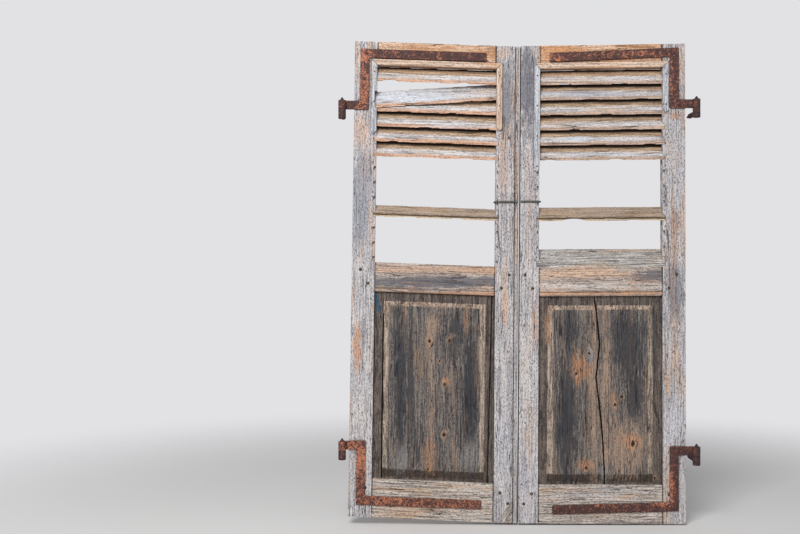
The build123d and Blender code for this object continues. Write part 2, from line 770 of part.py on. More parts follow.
def make_pintle(leaf, strap):
    """Forged pintle: pointed pin, round body, and a tail with a collar that stops at the masonry."""
    eye_x = leaf.side * axis_x
    seat_z = eye_height(leaf, strap) - strap_width / 2 - pintle_gap
    pin_top = strap_width + pintle_gap
    body_middle = seat_z - pintle_body_height / 2
    with BuildPart() as pintle:
        with BuildSketch(Plane((eye_x, axis_y, seat_z), x_dir=(1, 0, 0), z_dir=(0, -1, 0))) as upright:
            Polygon((0, -pintle_body_height), (eye_radius - pintle_chamfer, -pintle_body_height),
                    (eye_radius, pintle_chamfer - pintle_body_height), (eye_radius, -pintle_chamfer / 2),
                    (eye_radius - pintle_chamfer / 2, 0), (pin_radius, 0), (pin_radius, pin_top),
                    (pin_tip_radius, pin_top + pin_tip_height), (0, pin_top + pin_tip_height), align=None)
        revolve(upright.sketch, axis=Axis((eye_x, axis_y, seat_z), (0, 0, 1)))
        with BuildSketch(Plane((eye_x, street_face, body_middle), x_dir=(1, 0, 0), z_dir=(0, 0, 1))) as tail:
            Polygon((0, -eye_radius), (tail_collar_radius, -eye_radius),
                    (tail_collar_radius, tail_collar_depth), (tail_radius, tail_collar_depth),
                    (tail_radius, tail_straight_depth), (tail_point_radius, tail_point_depth),
                    (0, tail_point_depth), align=None)
        revolve(tail.sketch, axis=Axis((eye_x, street_face, body_middle), (0, 1, 0)))
    pintle.part.label = f"{leaf.name}_{strap.name}_pintle"
    export_step(pintle.part, f"parts/{pintle.part.label}.step")


def make_tie_wire(leaf):
    """Half of the tie wire: an open loop round the meeting stile."""
    stand_off = wire_radius + wire_touch_gap
    bend_radius = stand_off + wire_bend_slack
    front_y = street_face - stand_off
    back_y = street_face + leaf_thickness + stand_off
    end_x, z = leaf.at(leaf_width - wire_end_inset, wire_up)
    turn_x = leaf.at(leaf.meeting_shoulder(), wire_up)[0] + leaf.side * stand_off
    with BuildPart() as wire:
        with BuildLine() as route:
            FilletPolyline((end_x, front_y, z), (turn_x, front_y, z), (turn_x, back_y, z),
                           (end_x, back_y, z), radius=bend_radius)
        with BuildSketch(Plane((end_x, front_y, z), z_dir=(leaf.side, 0, 0))):
            Circle(wire_radius)
        sweep(path=route.line)
    wire.part.label = f"{leaf.name}_tie_wire"
    export_step(wire.part, f"parts/{wire.part.label}.step")


make_foot_patch(left_leaf)
for leaf in (left_leaf, right_leaf):
    make_hanging_stile(leaf)
    make_meeting_stile(leaf)
    make_top_rail(leaf)
    make_mid_rail(leaf)
    make_bottom_rail(leaf)
    make_panel(leaf)
    for number in leaf.slats:
        make_slat(leaf, number)
    make_head_bead(leaf)
    make_side_bead(leaf, "hanging", hanging_stile_width, -1, leaf.hanging_bead_end)
    make_side_bead(leaf, "meeting", leaf.meeting_shoulder(), 1, leaf.meeting_bead_end)
    make_bead_nails(leaf)
    make_pegs(leaf)
    make_strap_nails(leaf)
    make_tie_wire(leaf)
    for strap in leaf.straps:
        make_strap(leaf, strap)
        make_pintle(leaf, strap)
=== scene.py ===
"""A pair of old window shutters on wall pintles: weathered wood, worn slats and rusted iron.

Metres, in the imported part's own frame: +Z up, -Y to the street, +X to the right from the street.
"""

import json
from math import atan2, pi, radians

import bmesh
import bpy
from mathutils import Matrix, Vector, noise

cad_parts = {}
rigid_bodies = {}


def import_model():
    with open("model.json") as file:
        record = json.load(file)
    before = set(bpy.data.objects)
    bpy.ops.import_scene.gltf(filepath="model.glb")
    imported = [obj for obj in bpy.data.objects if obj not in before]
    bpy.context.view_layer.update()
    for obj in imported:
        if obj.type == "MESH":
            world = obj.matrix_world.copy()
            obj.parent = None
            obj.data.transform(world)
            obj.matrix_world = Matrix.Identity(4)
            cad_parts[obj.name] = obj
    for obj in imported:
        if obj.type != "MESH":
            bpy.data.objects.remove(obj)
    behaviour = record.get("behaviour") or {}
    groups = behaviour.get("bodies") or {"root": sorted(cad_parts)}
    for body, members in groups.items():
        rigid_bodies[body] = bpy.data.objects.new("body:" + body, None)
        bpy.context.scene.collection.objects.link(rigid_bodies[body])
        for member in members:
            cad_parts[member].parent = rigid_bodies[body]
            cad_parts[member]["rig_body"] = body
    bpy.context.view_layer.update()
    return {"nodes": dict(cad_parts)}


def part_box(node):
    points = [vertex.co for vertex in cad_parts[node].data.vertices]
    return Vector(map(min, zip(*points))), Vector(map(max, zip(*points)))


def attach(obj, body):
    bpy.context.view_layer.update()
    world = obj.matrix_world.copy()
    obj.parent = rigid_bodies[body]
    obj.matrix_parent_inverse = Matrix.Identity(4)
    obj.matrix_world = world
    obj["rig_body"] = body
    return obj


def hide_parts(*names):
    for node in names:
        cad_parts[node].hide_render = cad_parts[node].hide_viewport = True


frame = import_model()

# Stiles: the four uprights, sawn softwood about 72 by 34 mm, housed for the slats, mortised for
# the rails and grooved for the panels. Sun and rain have turned them silver, raised their grain
# and left tan and bluish stretches, with darker streaks where water runs.
STREET_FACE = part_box("left_hanging_stile")[0].y
WELD = 0.000002
FLAT_ANGLE = radians(1.0)
ARRIS_ANGLE = radians(35.0)
SHADE_ANGLE = radians(32.0)
EDGE_CUTS = (0.0013, 0.0030)
WEAR_SPACING = 22.0
FINE_RELIEF = (310.0, 9.0)
BROAD_RELIEF = (55.0, 4.0)
DEPTH = Vector((0.0, 1.0, 0.0))


def cut_grid(work, direction, step):
    """Cut a mesh by planes across a direction: evenly, and twice more beside each end."""
    places = [vert.co.dot(direction) for vert in work.verts]
    low, high = min(places), max(places)
    count = max(1, round((high - low) / step))
    cuts = [low + (high - low) * index / count for index in range(1, count)]
    cuts += [low + inset for inset in EDGE_CUTS] + [high - inset for inset in EDGE_CUTS]
    for cut in cuts:
        if low < cut < high:
            bmesh.ops.bisect_plane(work, geom=work.verts[:] + work.edges[:] + work.faces[:],
                                   plane_co=direction * cut, plane_no=direction, dist=WELD)


def grain_direction(work):
    """Direction of a piece's longest edge, pointing up or to the right."""
    longest = max(work.edges, key=lambda edge: edge.calc_length())
    direction = (longest.verts[1].co - longest.verts[0].co).normalized()
    return direction if direction.z + direction.x > 0 else -direction


def wear_arrises(work, amount, seed):
    """Pull the outer corners in towards their neighbours, unevenly along the grain."""
    moves = []
    for vert in work.verts:
        if any(edge.is_convex and edge.calc_face_angle(0.0) > ARRIS_ANGLE for edge in vert.link_edges):
            near = [edge.other_vert(vert).co for edge in vert.link_edges]
            middle = sum(near, Vector()) / len(near)
            uneven = 0.6 + 0.8 * noise.noise(vert.co * WEAR_SPACING + Vector((seed, 0.0, 0.0)))
            moves.append((vert, (middle - vert.co) * amount * max(0.15, uneven)))
    for vert, shift in moves:
        vert.co += shift


def erode(work, grain, depth, seed):
    """Sink the faces between the hard lines of the grain."""
    work.normal_update()
    elsewhere = Vector((seed, seed * 0.37, seed * 0.71))
    for vert in work.verts:
        along = vert.co.dot(grain)
        aside = vert.co - grain * along
        fine = noise.noise(aside * FINE_RELIEF[0] + grain * along * FINE_RELIEF[1] + elsewhere)
        broad = noise.noise(aside * BROAD_RELIEF[0] + grain * along * BROAD_RELIEF[1] - elsewhere)
        sunk = 0.5 + 0.38 * fine + 0.3 * broad
        vert.co -= vert.normal * depth * min(1.0, max(0.0, sunk))


def worn_piece(node, steps, wear, depth, seed, slope=None):
    """Worn copy of a node's solid, which stands for it in the picture and rides on the same body."""
    work = bmesh.new()
    work.from_mesh(frame["nodes"][node].data)
    bmesh.ops.remove_doubles(work, verts=work.verts, dist=WELD)
    bmesh.ops.dissolve_limit(work, angle_limit=FLAT_ANGLE, verts=work.verts, edges=work.edges)
    grain = grain_direction(work)
    face = slope or grain.cross(DEPTH).normalized()
    through = grain.cross(face).normalized()
    for direction, step in zip((grain, face, through), steps):
        cut_grid(work, direction, step)
    work.normal_update()
    for turn in range(2):
        wear_arrises(work, wear, seed + turn)
    erode(work, grain, depth, seed)
    mesh = bpy.data.meshes.new(f"worn_{node}")
    work.to_mesh(mesh)
    work.free()
    mesh.shade_smooth()
    mesh.set_sharp_from_angle(angle=SHADE_ANGLE)
    piece = bpy.data.objects.new(f"worn_{node}", mesh)
    bpy.context.scene.collection.objects.link(piece)
    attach(piece, frame["nodes"][node]["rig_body"])
    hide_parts(node)
    return piece, grain


def tone(red, green, blue):
    """Colour as seen on a screen, 0 to 255, in the linear values that the shader takes."""
    parts = [part / 255.0 for part in (red, green, blue)]
    linear = [part / 12.92 if part <= 0.04045 else ((part + 0.055) / 1.055) ** 2.4 for part in parts]
    return (*linear, 1.0)


def put(socket, value):
    """Link a socket to another, or set its own value."""
    if isinstance(value, bpy.types.NodeSocket):
        socket.id_data.links.new(value, socket)
    else:
        socket.default_value = value


def calc(tree, operation, *values):
    """One sum between numbers."""
    maths = tree.nodes.new("ShaderNodeMath")
    maths.operation = operation
    for socket, value in zip(maths.inputs, values):
        put(socket, value)
    return maths.outputs[0]


def weigh(tree, *parts):
    """Sum of numbers, each times its weight."""
    total = 0.0
    for value, weight in parts:
        total = calc(tree, "MULTIPLY_ADD", value, weight, total)
    return total


def move(tree, operation, first, second):
    """One sum between two vectors, or a vector scaled by a number."""
    maths = tree.nodes.new("ShaderNodeVectorMath")
    maths.operation = operation
    put(maths.inputs[0], first)
    put(maths.inputs["Scale" if operation == "SCALE" else 1], second)
    return maths.outputs[0]


def measure(tree, operation, *vectors):
    """The length of a vector, or how far it reaches along another."""
    maths = tree.nodes.new("ShaderNodeVectorMath")
    maths.operation = operation
    for socket, vector in zip(maths.inputs, vectors):
        put(socket, vector)
    return maths.outputs["Value"]


def parts_of(tree, vector):
    """The X, Y and Z of a vector."""
    split = tree.nodes.new("ShaderNodeSeparateXYZ")
    put(split.inputs[0], vector)
    return split.outputs


def spread(tree, value, low, high, to_low=0.0, to_high=1.0):
    """Value carried smoothly from one range to another and held at its ends."""
    mapped = tree.nodes.new("ShaderNodeMapRange")
    mapped.interpolation_type = "SMOOTHSTEP"
    for name, part in (("Value", value), ("From Min", low), ("From Max", high),
                       ("To Min", to_low), ("To Max", to_high)):
        put(mapped.inputs[name], part)
    return mapped.outputs[0]


def lay(tree, under, over, amount):
    """One colour laid over another by an amount."""
    mix = tree.nodes.new("ShaderNodeMix")
    mix.data_type = "RGBA"
    put(mix.inputs[0], amount)
    put(mix.inputs[6], under)
    put(mix.inputs[7], over)
    return mix.outputs[2]


def clouds(tree, place, scale, detail=2.0, roughness=0.5):
    """Soft noise at a scale: one number, or a stretch along each of X, Y and Z."""
    if isinstance(scale, tuple):
        place = move(tree, "MULTIPLY", place, scale)
        scale = 1.0
    texture = tree.nodes.new("ShaderNodeTexNoise")
    for name, value in (("Vector", place), ("Scale", scale), ("Detail", detail), ("Roughness", roughness)):
        put(texture.inputs[name], value)
    return texture.outputs[0]


def new_group(name, takes, gives):
    """Empty node group, with its inputs and outputs."""
    group = bpy.data.node_groups.new(name, "ShaderNodeTree")
    for way, sockets in (("INPUT", takes), ("OUTPUT", gives)):
        for label, kind in sockets.items():
            group.interface.new_socket(label, in_out=way, socket_type=f"NodeSocket{kind}")
    return group, group.nodes.new("NodeGroupInput").outputs, group.nodes.new("NodeGroupOutput").inputs


def new_layer(name, **takes):
    """Empty group for a layer of colour, laid by where a point is and how the grain is streaked."""
    return new_group(name, {"Colour": "Color", "Place": "Vector", "Streaked": "Float", **takes},
                     {"Colour": "Color"})


def use_group(tree, group, **values):
    """Place a group with its own values."""
    placed = tree.nodes.new("ShaderNodeGroup")
    placed.node_tree = group
    for name, value in values.items():
        put(placed.inputs[name], value)
    return placed.outputs


def streaky(tree, pale, dark, streaked):
    """Two tones that take turns with the streaks of the grain."""
    return lay(tree, pale, dark, spread(tree, streaked, 0.43, 0.57))


def build_grain():
    """Grain that runs along Z: streaks, broad bands, drying cracks, dashes, flecks and relief."""
    group, takes, gives = new_group(
        "wood_grain", {"Place": "Vector", "Seed": "Float", "Cracking": "Float"},
        {"Streaked": "Float", "Streak": "Float", "Bands": "Float", "Crack": "Float", "Dash": "Float",
         "Fleck": "Float", "Relief": "Float"})
    shifted = move(group, "ADD", takes["Place"], takes["Seed"])
    sway = clouds(group, shifted, (9.0, 9.0, 5.0))
    swayed = move(group, "ADD", shifted, move(group, "SCALE", (0.012, 0.012, 0.0), sway))
    fine = clouds(group, swayed, (520.0, 520.0, 24.0), 3.0, 0.6)
    streak = clouds(group, swayed, (230.0, 230.0, 7.0), 3.0, 0.6)
    dash = clouds(group, swayed, (430.0, 430.0, 140.0), 3.0, 0.65)
    fleck = clouds(group, shifted, (340.0, 340.0, 95.0), 2.0, 0.55)
    line = clouds(group, swayed, (120.0, 120.0, 3.2), 1.0, 0.4)
    where = clouds(group, shifted, (26.0, 26.0, 7.0))
    beside_line = calc(group, "ABSOLUTE", calc(group, "SUBTRACT", line, 0.5))
    cracked = calc(group, "MULTIPLY_ADD", takes["Cracking"], 0.2, where)
    crack = calc(group, "MULTIPLY", spread(group, beside_line, 0.016, 0.004),
                 spread(group, cracked, 0.56, 0.66))
    put(gives["Streaked"], weigh(group, (streak, 0.42), (fine, 0.33), (dash, 0.25)))
    put(gives["Streak"], streak)
    put(gives["Bands"], clouds(group, swayed, (38.0, 38.0, 5.0)))
    put(gives["Crack"], crack)
    put(gives["Dash"], dash)
    put(gives["Fleck"], spread(group, fleck, 0.60, 0.70))
    put(gives["Relief"], weigh(group, (fine, 0.45), (streak, 0.55), (crack, -0.9),
                               (spread(group, dash, 0.54, 0.66), -0.3)))
    return group


def build_weathering():
    """Colour of open grain: pale and grey streaks, with tan and brown bands where it is warm."""
    group, takes, gives = new_group(
        "wood_weathering", {"Streaked": "Float", "Bands": "Float", "Warmth": "Float", "Pale": "Color",
                            "Grey": "Color", "Tan": "Color", "Brown": "Color"}, {"Colour": "Color"})
    first = calc(group, "MULTIPLY_ADD", takes["Warmth"], -0.3, 0.62)
    last = calc(group, "MULTIPLY_ADD", takes["Warmth"], -0.3, 0.80)
    warm = calc(group, "MULTIPLY", spread(group, takes["Bands"], first, last), 0.85)
    silver = streaky(group, takes["Pale"], takes["Grey"], takes["Streaked"])
    brown = lay(group, takes["Tan"], takes["Brown"], spread(group, takes["Streaked"], 0.44, 0.64))
    put(gives["Colour"], lay(group, silver, brown, warm))
    return group


def build_stain():
    """Ragged oval patch about a place, drawn out by its reach, with edges that follow the grain."""
    group, takes, gives = new_group(
        "stain_patch", {"Place": "Vector", "Along": "Vector", "Centre": "Vector", "Reach": "Vector"},
        {"Mask": "Float"})
    offset = move(group, "DIVIDE", move(group, "SUBTRACT", takes["Place"], takes["Centre"]), takes["Reach"])
    torn = clouds(group, takes["Along"], (190.0, 190.0, 26.0), 4.0, 0.65)
    ragged = calc(group, "MULTIPLY", calc(group, "SUBTRACT", torn, 0.5), 3.0)
    distance = calc(group, "ADD", measure(group, "LENGTH", offset), ragged)
    put(gives["Mask"], spread(group, distance, 1.25, 0.45))
    return group


def build_knot():
    """Knot: its dark heart, the resin halo round it, and how far the grain is pushed aside."""
    group, takes, gives = new_group(
        "knot", {"Place": "Vector", "Offset": "Vector", "Radius": "Float"},
        {"Heart": "Float", "Halo": "Float", "Pull": "Float"})
    torn = clouds(group, takes["Place"], 260.0, 3.0, 0.7)
    uneven = calc(group, "MULTIPLY", calc(group, "SUBTRACT", torn, 0.5), 2.2)
    radii = calc(group, "DIVIDE", measure(group, "LENGTH", takes["Offset"]), takes["Radius"])
    out = calc(group, "ADD", radii, uneven)
    resin = calc(group, "MULTIPLY", spread(group, out, 2.6, 1.1), spread(group, torn, 0.40, 0.58))
    put(gives["Heart"], spread(group, out, 1.0, 0.55))
    put(gives["Halo"], resin)
    put(gives["Pull"], calc(group, "MULTIPLY", spread(group, out, 4.5, 0.6), -0.75))
    return group


def build_marks():
    """Short dark dashes, flecks and drying cracks, laid on a colour."""
    group, takes, gives = new_group(
        "dark_marks", {"Colour": "Color", "Dark": "Color", "Dash": "Float", "Flecking": "Float",
                       "Fleck": "Float", "Crack": "Float"}, {"Colour": "Color"})
    dashes = calc(group, "MULTIPLY", spread(group, takes["Dash"], 0.53, 0.64), takes["Flecking"])
    colour = lay(group, takes["Colour"], takes["Dark"], dashes)
    colour = lay(group, colour, takes["Dark"], calc(group, "MULTIPLY", takes["Fleck"], 0.5))
    put(gives["Colour"], lay(group, colour, takes["Dark"], calc(group, "MULTIPLY", takes["Crack"], 0.9)))
    return group


def build_arris_wear_and_highlight():
    """Outer corners painted pale: wear, and a painted highlight along the edges."""
    group, takes, gives = new_group("arris_wear_and_highlight", {"Colour": "Color", "Arris": "Color"}, {"Colour": "Color"})
    corners = group.nodes.new("ShaderNodeNewGeometry").outputs["Pointiness"]
    worn_and_lit = calc(group, "MULTIPLY", spread(group, corners, 0.53, 0.62), 0.55)
    put(gives["Colour"], lay(group, takes["Colour"], takes["Arris"], worn_and_lit))
    return group


def build_dirt_and_shade():
    """Dirt, and painted shade from ambient occlusion: darker in the inner corners and gaps, out to a reach.
    """
    group, takes, gives = new_group(
        "corner_dirt_and_shade", {"Colour": "Color", "Reach": "Float", "Amount": "Float"}, {"Colour": "Color"})
    occlusion = group.nodes.new("ShaderNodeAmbientOcclusion")
    occlusion.samples = 6
    put(occlusion.inputs["Distance"], takes["Reach"])
    dirty_and_shaded = calc(group, "MULTIPLY", spread(group, occlusion.outputs["AO"], 0.80, 0.22), takes["Amount"])
    put(gives["Colour"], lay(group, takes["Colour"], DIRT_AND_SHADE, dirty_and_shaded))
    return group


# Near black: dirt in the joints, and painted shade in corners and gaps.
DIRT_AND_SHADE = tone(30, 25, 24)
STAIN_DEPTH = 10.0
KNOT_OVAL = (1.0, 0.0, 0.72)
grain_group = build_grain()
weathering_group = build_weathering()
stain_group = build_stain()
knot_group = build_knot()
marks_group = build_marks()
arris_wear_and_highlight_group = build_arris_wear_and_highlight()
dirt_and_shade_group = build_dirt_and_shade()


def stain(tree, place, along, centre, reach):
    """Mask of a stain, by its centre and its half width and half height on the front."""
    return use_group(tree, stain_group, Place=place, Along=along, Centre=(centre[0], 0.0, centre[1]),
                     Reach=(reach[0], STAIN_DEPTH, reach[1]))["Mask"]


def raise_relief(tree, shader, height, strength, distance):
    """Bump on a shader."""
    raised = tree.nodes.new("ShaderNodeBump")
    raised.inputs["Strength"].default_value = strength
    raised.inputs["Distance"].default_value = distance
    put(raised.inputs["Height"], height)
    put(shader.inputs["Normal"], raised.outputs[0])


def wood_material(name, grain, tones, patches=(), layers=(), covers=(), knots=(), seed=0.0,
                  cracking=0.5, warmth=0.5, flecking=0.5, dirt_and_shade_amount=0.9, dirt_and_shade_reach=0.010, bump=0.8):
    """Weathered wood. On the colour of its grain lie the layers, the patches (each a tone, a
    centre, a half size and a strength), the covers and the knots, then marks, arrises worn pale
    with a painted highlight, and dirt with painted shade in the corners."""
    material = bpy.data.materials.new(name)
    material.use_nodes = True
    tree = material.node_tree
    shader = tree.nodes["Principled BSDF"]
    shader.inputs["Specular IOR Level"].default_value = 0.25
    place = tree.nodes.new("ShaderNodeTexCoord").outputs["Object"]
    bent = place
    rings = []
    for (across, up), radius in knots:
        offset = move(tree, "MULTIPLY", move(tree, "SUBTRACT", bent, (across, 0.0, up)), KNOT_OVAL)
        ring = use_group(tree, knot_group, Place=bent, Offset=offset, Radius=radius)
        bent = move(tree, "ADD", bent, move(tree, "SCALE", offset, ring["Pull"]))
        rings.append(ring)
    upright = tree.nodes.new("ShaderNodeMapping")
    upright.inputs["Rotation"].default_value = (0.0, -atan2(grain.x, grain.z), 0.0)
    put(upright.inputs["Vector"], bent)
    look = use_group(tree, grain_group, Place=upright.outputs[0], Seed=seed, Cracking=cracking)
    streaked = look["Streaked"]
    colour = use_group(tree, weathering_group, Streaked=streaked, Bands=look["Bands"], Warmth=warmth,
                       Pale=tones["pale"], Grey=tones["grey"], Tan=tones["tan"],
                       Brown=tones["brown"])["Colour"]
    for group, values in layers:
        colour = use_group(tree, group, Colour=colour, Place=place, Streaked=streaked, **values)["Colour"]
    for patch_tone, centre, reach, strength in patches:
        mask = stain(tree, place, upright.outputs[0], centre, reach)
        uneven = calc(tree, "MULTIPLY", mask, spread(tree, streaked, 0.60, 0.42, 0.45, 1.0))
        colour = lay(tree, colour, patch_tone, calc(tree, "MULTIPLY", uneven, strength))
    for group, values in covers:
        colour = use_group(tree, group, Colour=colour, Place=place, Streaked=streaked, **values)["Colour"]
    for ring in rings:
        colour = lay(tree, colour, tones["halo"], calc(tree, "MULTIPLY", ring["Halo"], 0.45))
    colour = use_group(tree, marks_group, Colour=colour, Dark=tones["dark"], Dash=look["Dash"],
                       Flecking=flecking, Fleck=look["Fleck"], Crack=look["Crack"])["Colour"]
    for ring in rings:
        colour = lay(tree, colour, tones["heart"], ring["Heart"])
    # Pale arrises: wear, and a painted highlight.
    colour = use_group(tree, arris_wear_and_highlight_group, Colour=colour, Arris=tones["arris"])["Colour"]
    # Dirt and painted shade: darker in inner corners and gaps, where the occlusion finds them shut in.
    colour = use_group(tree, dirt_and_shade_group, Colour=colour, Reach=dirt_and_shade_reach, Amount=dirt_and_shade_amount)["Colour"]
    put(shader.inputs["Base Color"], colour)
    put(shader.inputs["Roughness"], spread(tree, look["Streak"], 0.3, 0.7, 0.95, 0.72))
    raise_relief(tree, shader, look["Relief"], bump, 0.0016)
    return material


STILE_TONES = {
    "pale": tone(212, 206, 204),
    "grey": tone(158, 156, 160),
    "tan": tone(208, 184, 166),
    "brown": tone(164, 138, 122),
    "dark": tone(64, 62, 72),
    "arris": tone(218, 196, 178),
}
LAVENDER = tone(204, 203, 212)
BLUE_GREY = tone(150, 153, 163)
SILVER = tone(190, 190, 195)
SLATE = tone(84, 86, 98)
PEACH = tone(214, 172, 140)
ORANGE = tone(208, 150, 102)
CHALK = tone(216, 208, 202)
PINK_BROWN = tone(166, 134, 120)
FRAME_STEPS = (0.0075, 0.0032, 0.0040)
STILES = {
    "left_hanging_stile": (
        (PEACH, (-0.492, 1.225), (0.026, 0.060), 0.65),
        (BLUE_GREY, (-0.488, 1.020), (0.040, 0.170), 0.90),
        (PEACH, (-0.464, 0.965), (0.006, 0.080), 0.60),
        (ORANGE, (-0.504, 0.550), (0.013, 0.085), 0.90),
        (SLATE, (-0.485, 0.600), (0.012, 0.050), 0.45),
        (SILVER, (-0.500, 0.430), (0.030, 0.060), 0.50),
        (CHALK, (-0.505, 0.340), (0.030, 0.100), 0.50),
        (BLUE_GREY, (-0.449, 1.300), (0.010, 0.160), 0.60),
    ),
    "left_meeting_stile": (
        (SLATE, (-0.042, 1.330), (0.034, 0.130), 0.70),
        (PEACH, (-0.050, 1.470), (0.020, 0.018), 0.60),
        (PINK_BROWN, (-0.046, 1.100), (0.020, 0.120), 0.35),
        (PEACH, (-0.040, 0.680), (0.008, 0.055), 0.75),
        (LAVENDER, (-0.052, 0.240), (0.026, 0.110), 0.60),
        (PINK_BROWN, (-0.007, 0.900), (0.006, 0.550), 0.40),
    ),
    "right_meeting_stile": (
        (SLATE, (0.026, 1.360), (0.040, 0.150), 0.85),
        (PINK_BROWN, (0.030, 1.080), (0.020, 0.090), 0.30),
        (PEACH, (0.050, 0.617), (0.009, 0.065), 0.80),
        (CHALK, (0.022, 0.490), (0.024, 0.130), 0.60),
        (LAVENDER, (0.026, 0.120), (0.034, 0.110), 0.65),
        (SLATE, (0.016, 0.170), (0.012, 0.060), 0.35),
    ),
    "right_hanging_stile": (
        (ORANGE, (0.488, 1.276), (0.022, 0.014), 0.75),
        (SILVER, (0.490, 1.140), (0.030, 0.125), 0.70),
        (PINK_BROWN, (0.487, 0.942), (0.022, 0.045), 0.65),
        (SLATE, (0.487, 0.720), (0.032, 0.120), 0.62),
        (ORANGE, (0.465, 0.436), (0.007, 0.050), 0.50),
        (PEACH, (0.487, 0.520), (0.018, 0.050), 0.40),
        (LAVENDER, (0.488, 0.310), (0.030, 0.100), 0.70),
    ),
}
for number, (node, patches) in enumerate(STILES.items()):
    stile, grain = worn_piece(node, FRAME_STEPS, wear=0.9, depth=0.0007, seed=3.0 + number)
    stile.data.materials.append(wood_material(
        f"aged_{node}", grain, STILE_TONES, patches, seed=1.7 * number, flecking=0.75, warmth=0.35))

# Foot patch: a triangle let into the foot of the left meeting stile when it was mended. It is
# the same wood, cut across to a feather edge and pinned, and has weathered browner.
PATCH_TONES = {
    "pale": tone(208, 198, 190),
    "grey": tone(138, 128, 122),
    "tan": tone(198, 172, 146),
    "brown": tone(118, 94, 78),
    "dark": tone(58, 50, 48),
    "arris": tone(226, 208, 190),
}
PATCH_STEPS = (0.0045, 0.0032, 0.0030)
foot_patch, grain = worn_piece("left_foot_patch", PATCH_STEPS, wear=0.7, depth=0.0005, seed=9.0)
foot_patch.data.materials.append(wood_material(
    "aged_foot_patch", grain, PATCH_TONES, seed=4.1, cracking=0.8, flecking=0.8))

# Rails: the six cross pieces, tenoned and pegged into the stiles. The top rails kept their tan
# colour under the head of the window; the mid rails have a small moulding along the foot. Water
# and dirt have got into the joints and drawn a dark line at each shoulder.
TOP_TONES = {
    "pale": tone(232, 204, 178),
    "grey": tone(186, 146, 116),
    "tan": tone(214, 162, 122),
    "brown": tone(160, 112, 80),
    "dark": tone(92, 66, 52),
    "arris": tone(240, 208, 178),
}
MID_TONES = {
    "pale": tone(204, 188, 176),
    "grey": tone(146, 134, 128),
    "tan": tone(204, 170, 146),
    "brown": tone(152, 124, 106),
    "dark": tone(76, 68, 66),
    "arris": tone(220, 190, 166),
}
BOTTOM_TONES = {
    "pale": tone(216, 205, 194),
    "grey": tone(140, 130, 125),
    "tan": tone(204, 176, 152),
    "brown": tone(142, 117, 98),
    "dark": tone(62, 53, 50),
    "arris": tone(214, 196, 178),
}
DARK_BLUE = tone(82, 88, 100)
MOULDING = tone(206, 154, 116)
SALMON = tone(222, 186, 158)
RAILS = {
    "left_top_rail": (TOP_TONES, ()),
    "right_top_rail": (TOP_TONES, ((ORANGE, (0.150, 1.480), (0.080, 0.012), 0.70),)),
    "left_mid_rail": (MID_TONES, (
        (PEACH, (-0.255, 0.796), (0.400, 0.012), 0.65),
        (DARK_BLUE, (-0.255, 0.757), (0.400, 0.020), 0.95),
        (MOULDING, (-0.255, 0.721), (0.400, 0.006), 0.90),
    )),
    "right_mid_rail": (MID_TONES, (
        (SALMON, (0.190, 0.784), (0.170, 0.018), 0.90),
        (DARK_BLUE, (0.428, 0.778), (0.060, 0.018), 0.85),
        (CHALK, (0.250, 0.745), (0.300, 0.010), 0.75),
        (MOULDING, (0.250, 0.722), (0.400, 0.006), 0.90),
    )),
    "left_bottom_rail": (BOTTOM_TONES, ((PEACH, (-0.250, 0.070), (0.170, 0.012), 0.35),)),
    "right_bottom_rail": (BOTTOM_TONES, ((SILVER, (0.250, 0.100), (0.150, 0.018), 0.40),)),
}


def shoulder(stile):
    """The line where the rails meet a stile: a direction across it, and how far along that it lies."""
    side, name = stile.split("_")[:2]
    mesh = frame["nodes"][stile].data
    edges = [[mesh.vertices[index].co for index in edge.vertices] for edge in mesh.edges]
    start, end = max(edges, key=lambda ends: (ends[0] - ends[1]).length)
    along = (end - start).normalized()
    if along.z < 0:
        along = -along
    inward = 1.0 if (side == "left") == (name == "hanging") else -1.0
    across = Vector((along.z, 0.0, -along.x)) * inward
    front = [vert.co for vert in mesh.vertices if vert.co.y < STREET_FACE + 0.001]
    return {"Across": tuple(across), "Reach": max(place.dot(across) for place in front)}


def build_joint():
    """Dark line at a shoulder."""
    group, takes, gives = new_layer("shoulder_line", Across="Vector", Reach="Float")
    along = measure(group, "DOT_PRODUCT", takes["Place"], takes["Across"])
    away = calc(group, "ABSOLUTE", calc(group, "SUBTRACT", along, takes["Reach"]))
    line = calc(group, "MULTIPLY", spread(group, away, 0.0042, 0.0020), 0.80)
    put(gives["Colour"], lay(group, takes["Colour"], DIRT_AND_SHADE, line))
    return group


joint_group = build_joint()
for number, (node, (tones, patches)) in enumerate(RAILS.items()):
    rail, grain = worn_piece(node, FRAME_STEPS, wear=0.9, depth=0.0007, seed=12.0 + number)
    side = node.split("_")[0]
    joints = [(joint_group, shoulder(f"{side}_{name}_stile")) for name in ("hanging", "meeting")]
    rail.data.materials.append(wood_material(
        f"aged_{node}", grain, tones, patches, joints, seed=7.0 + 1.3 * number,
        warmth=0.8 if "top" in node else 0.4, flecking=0.55, cracking=1.0))

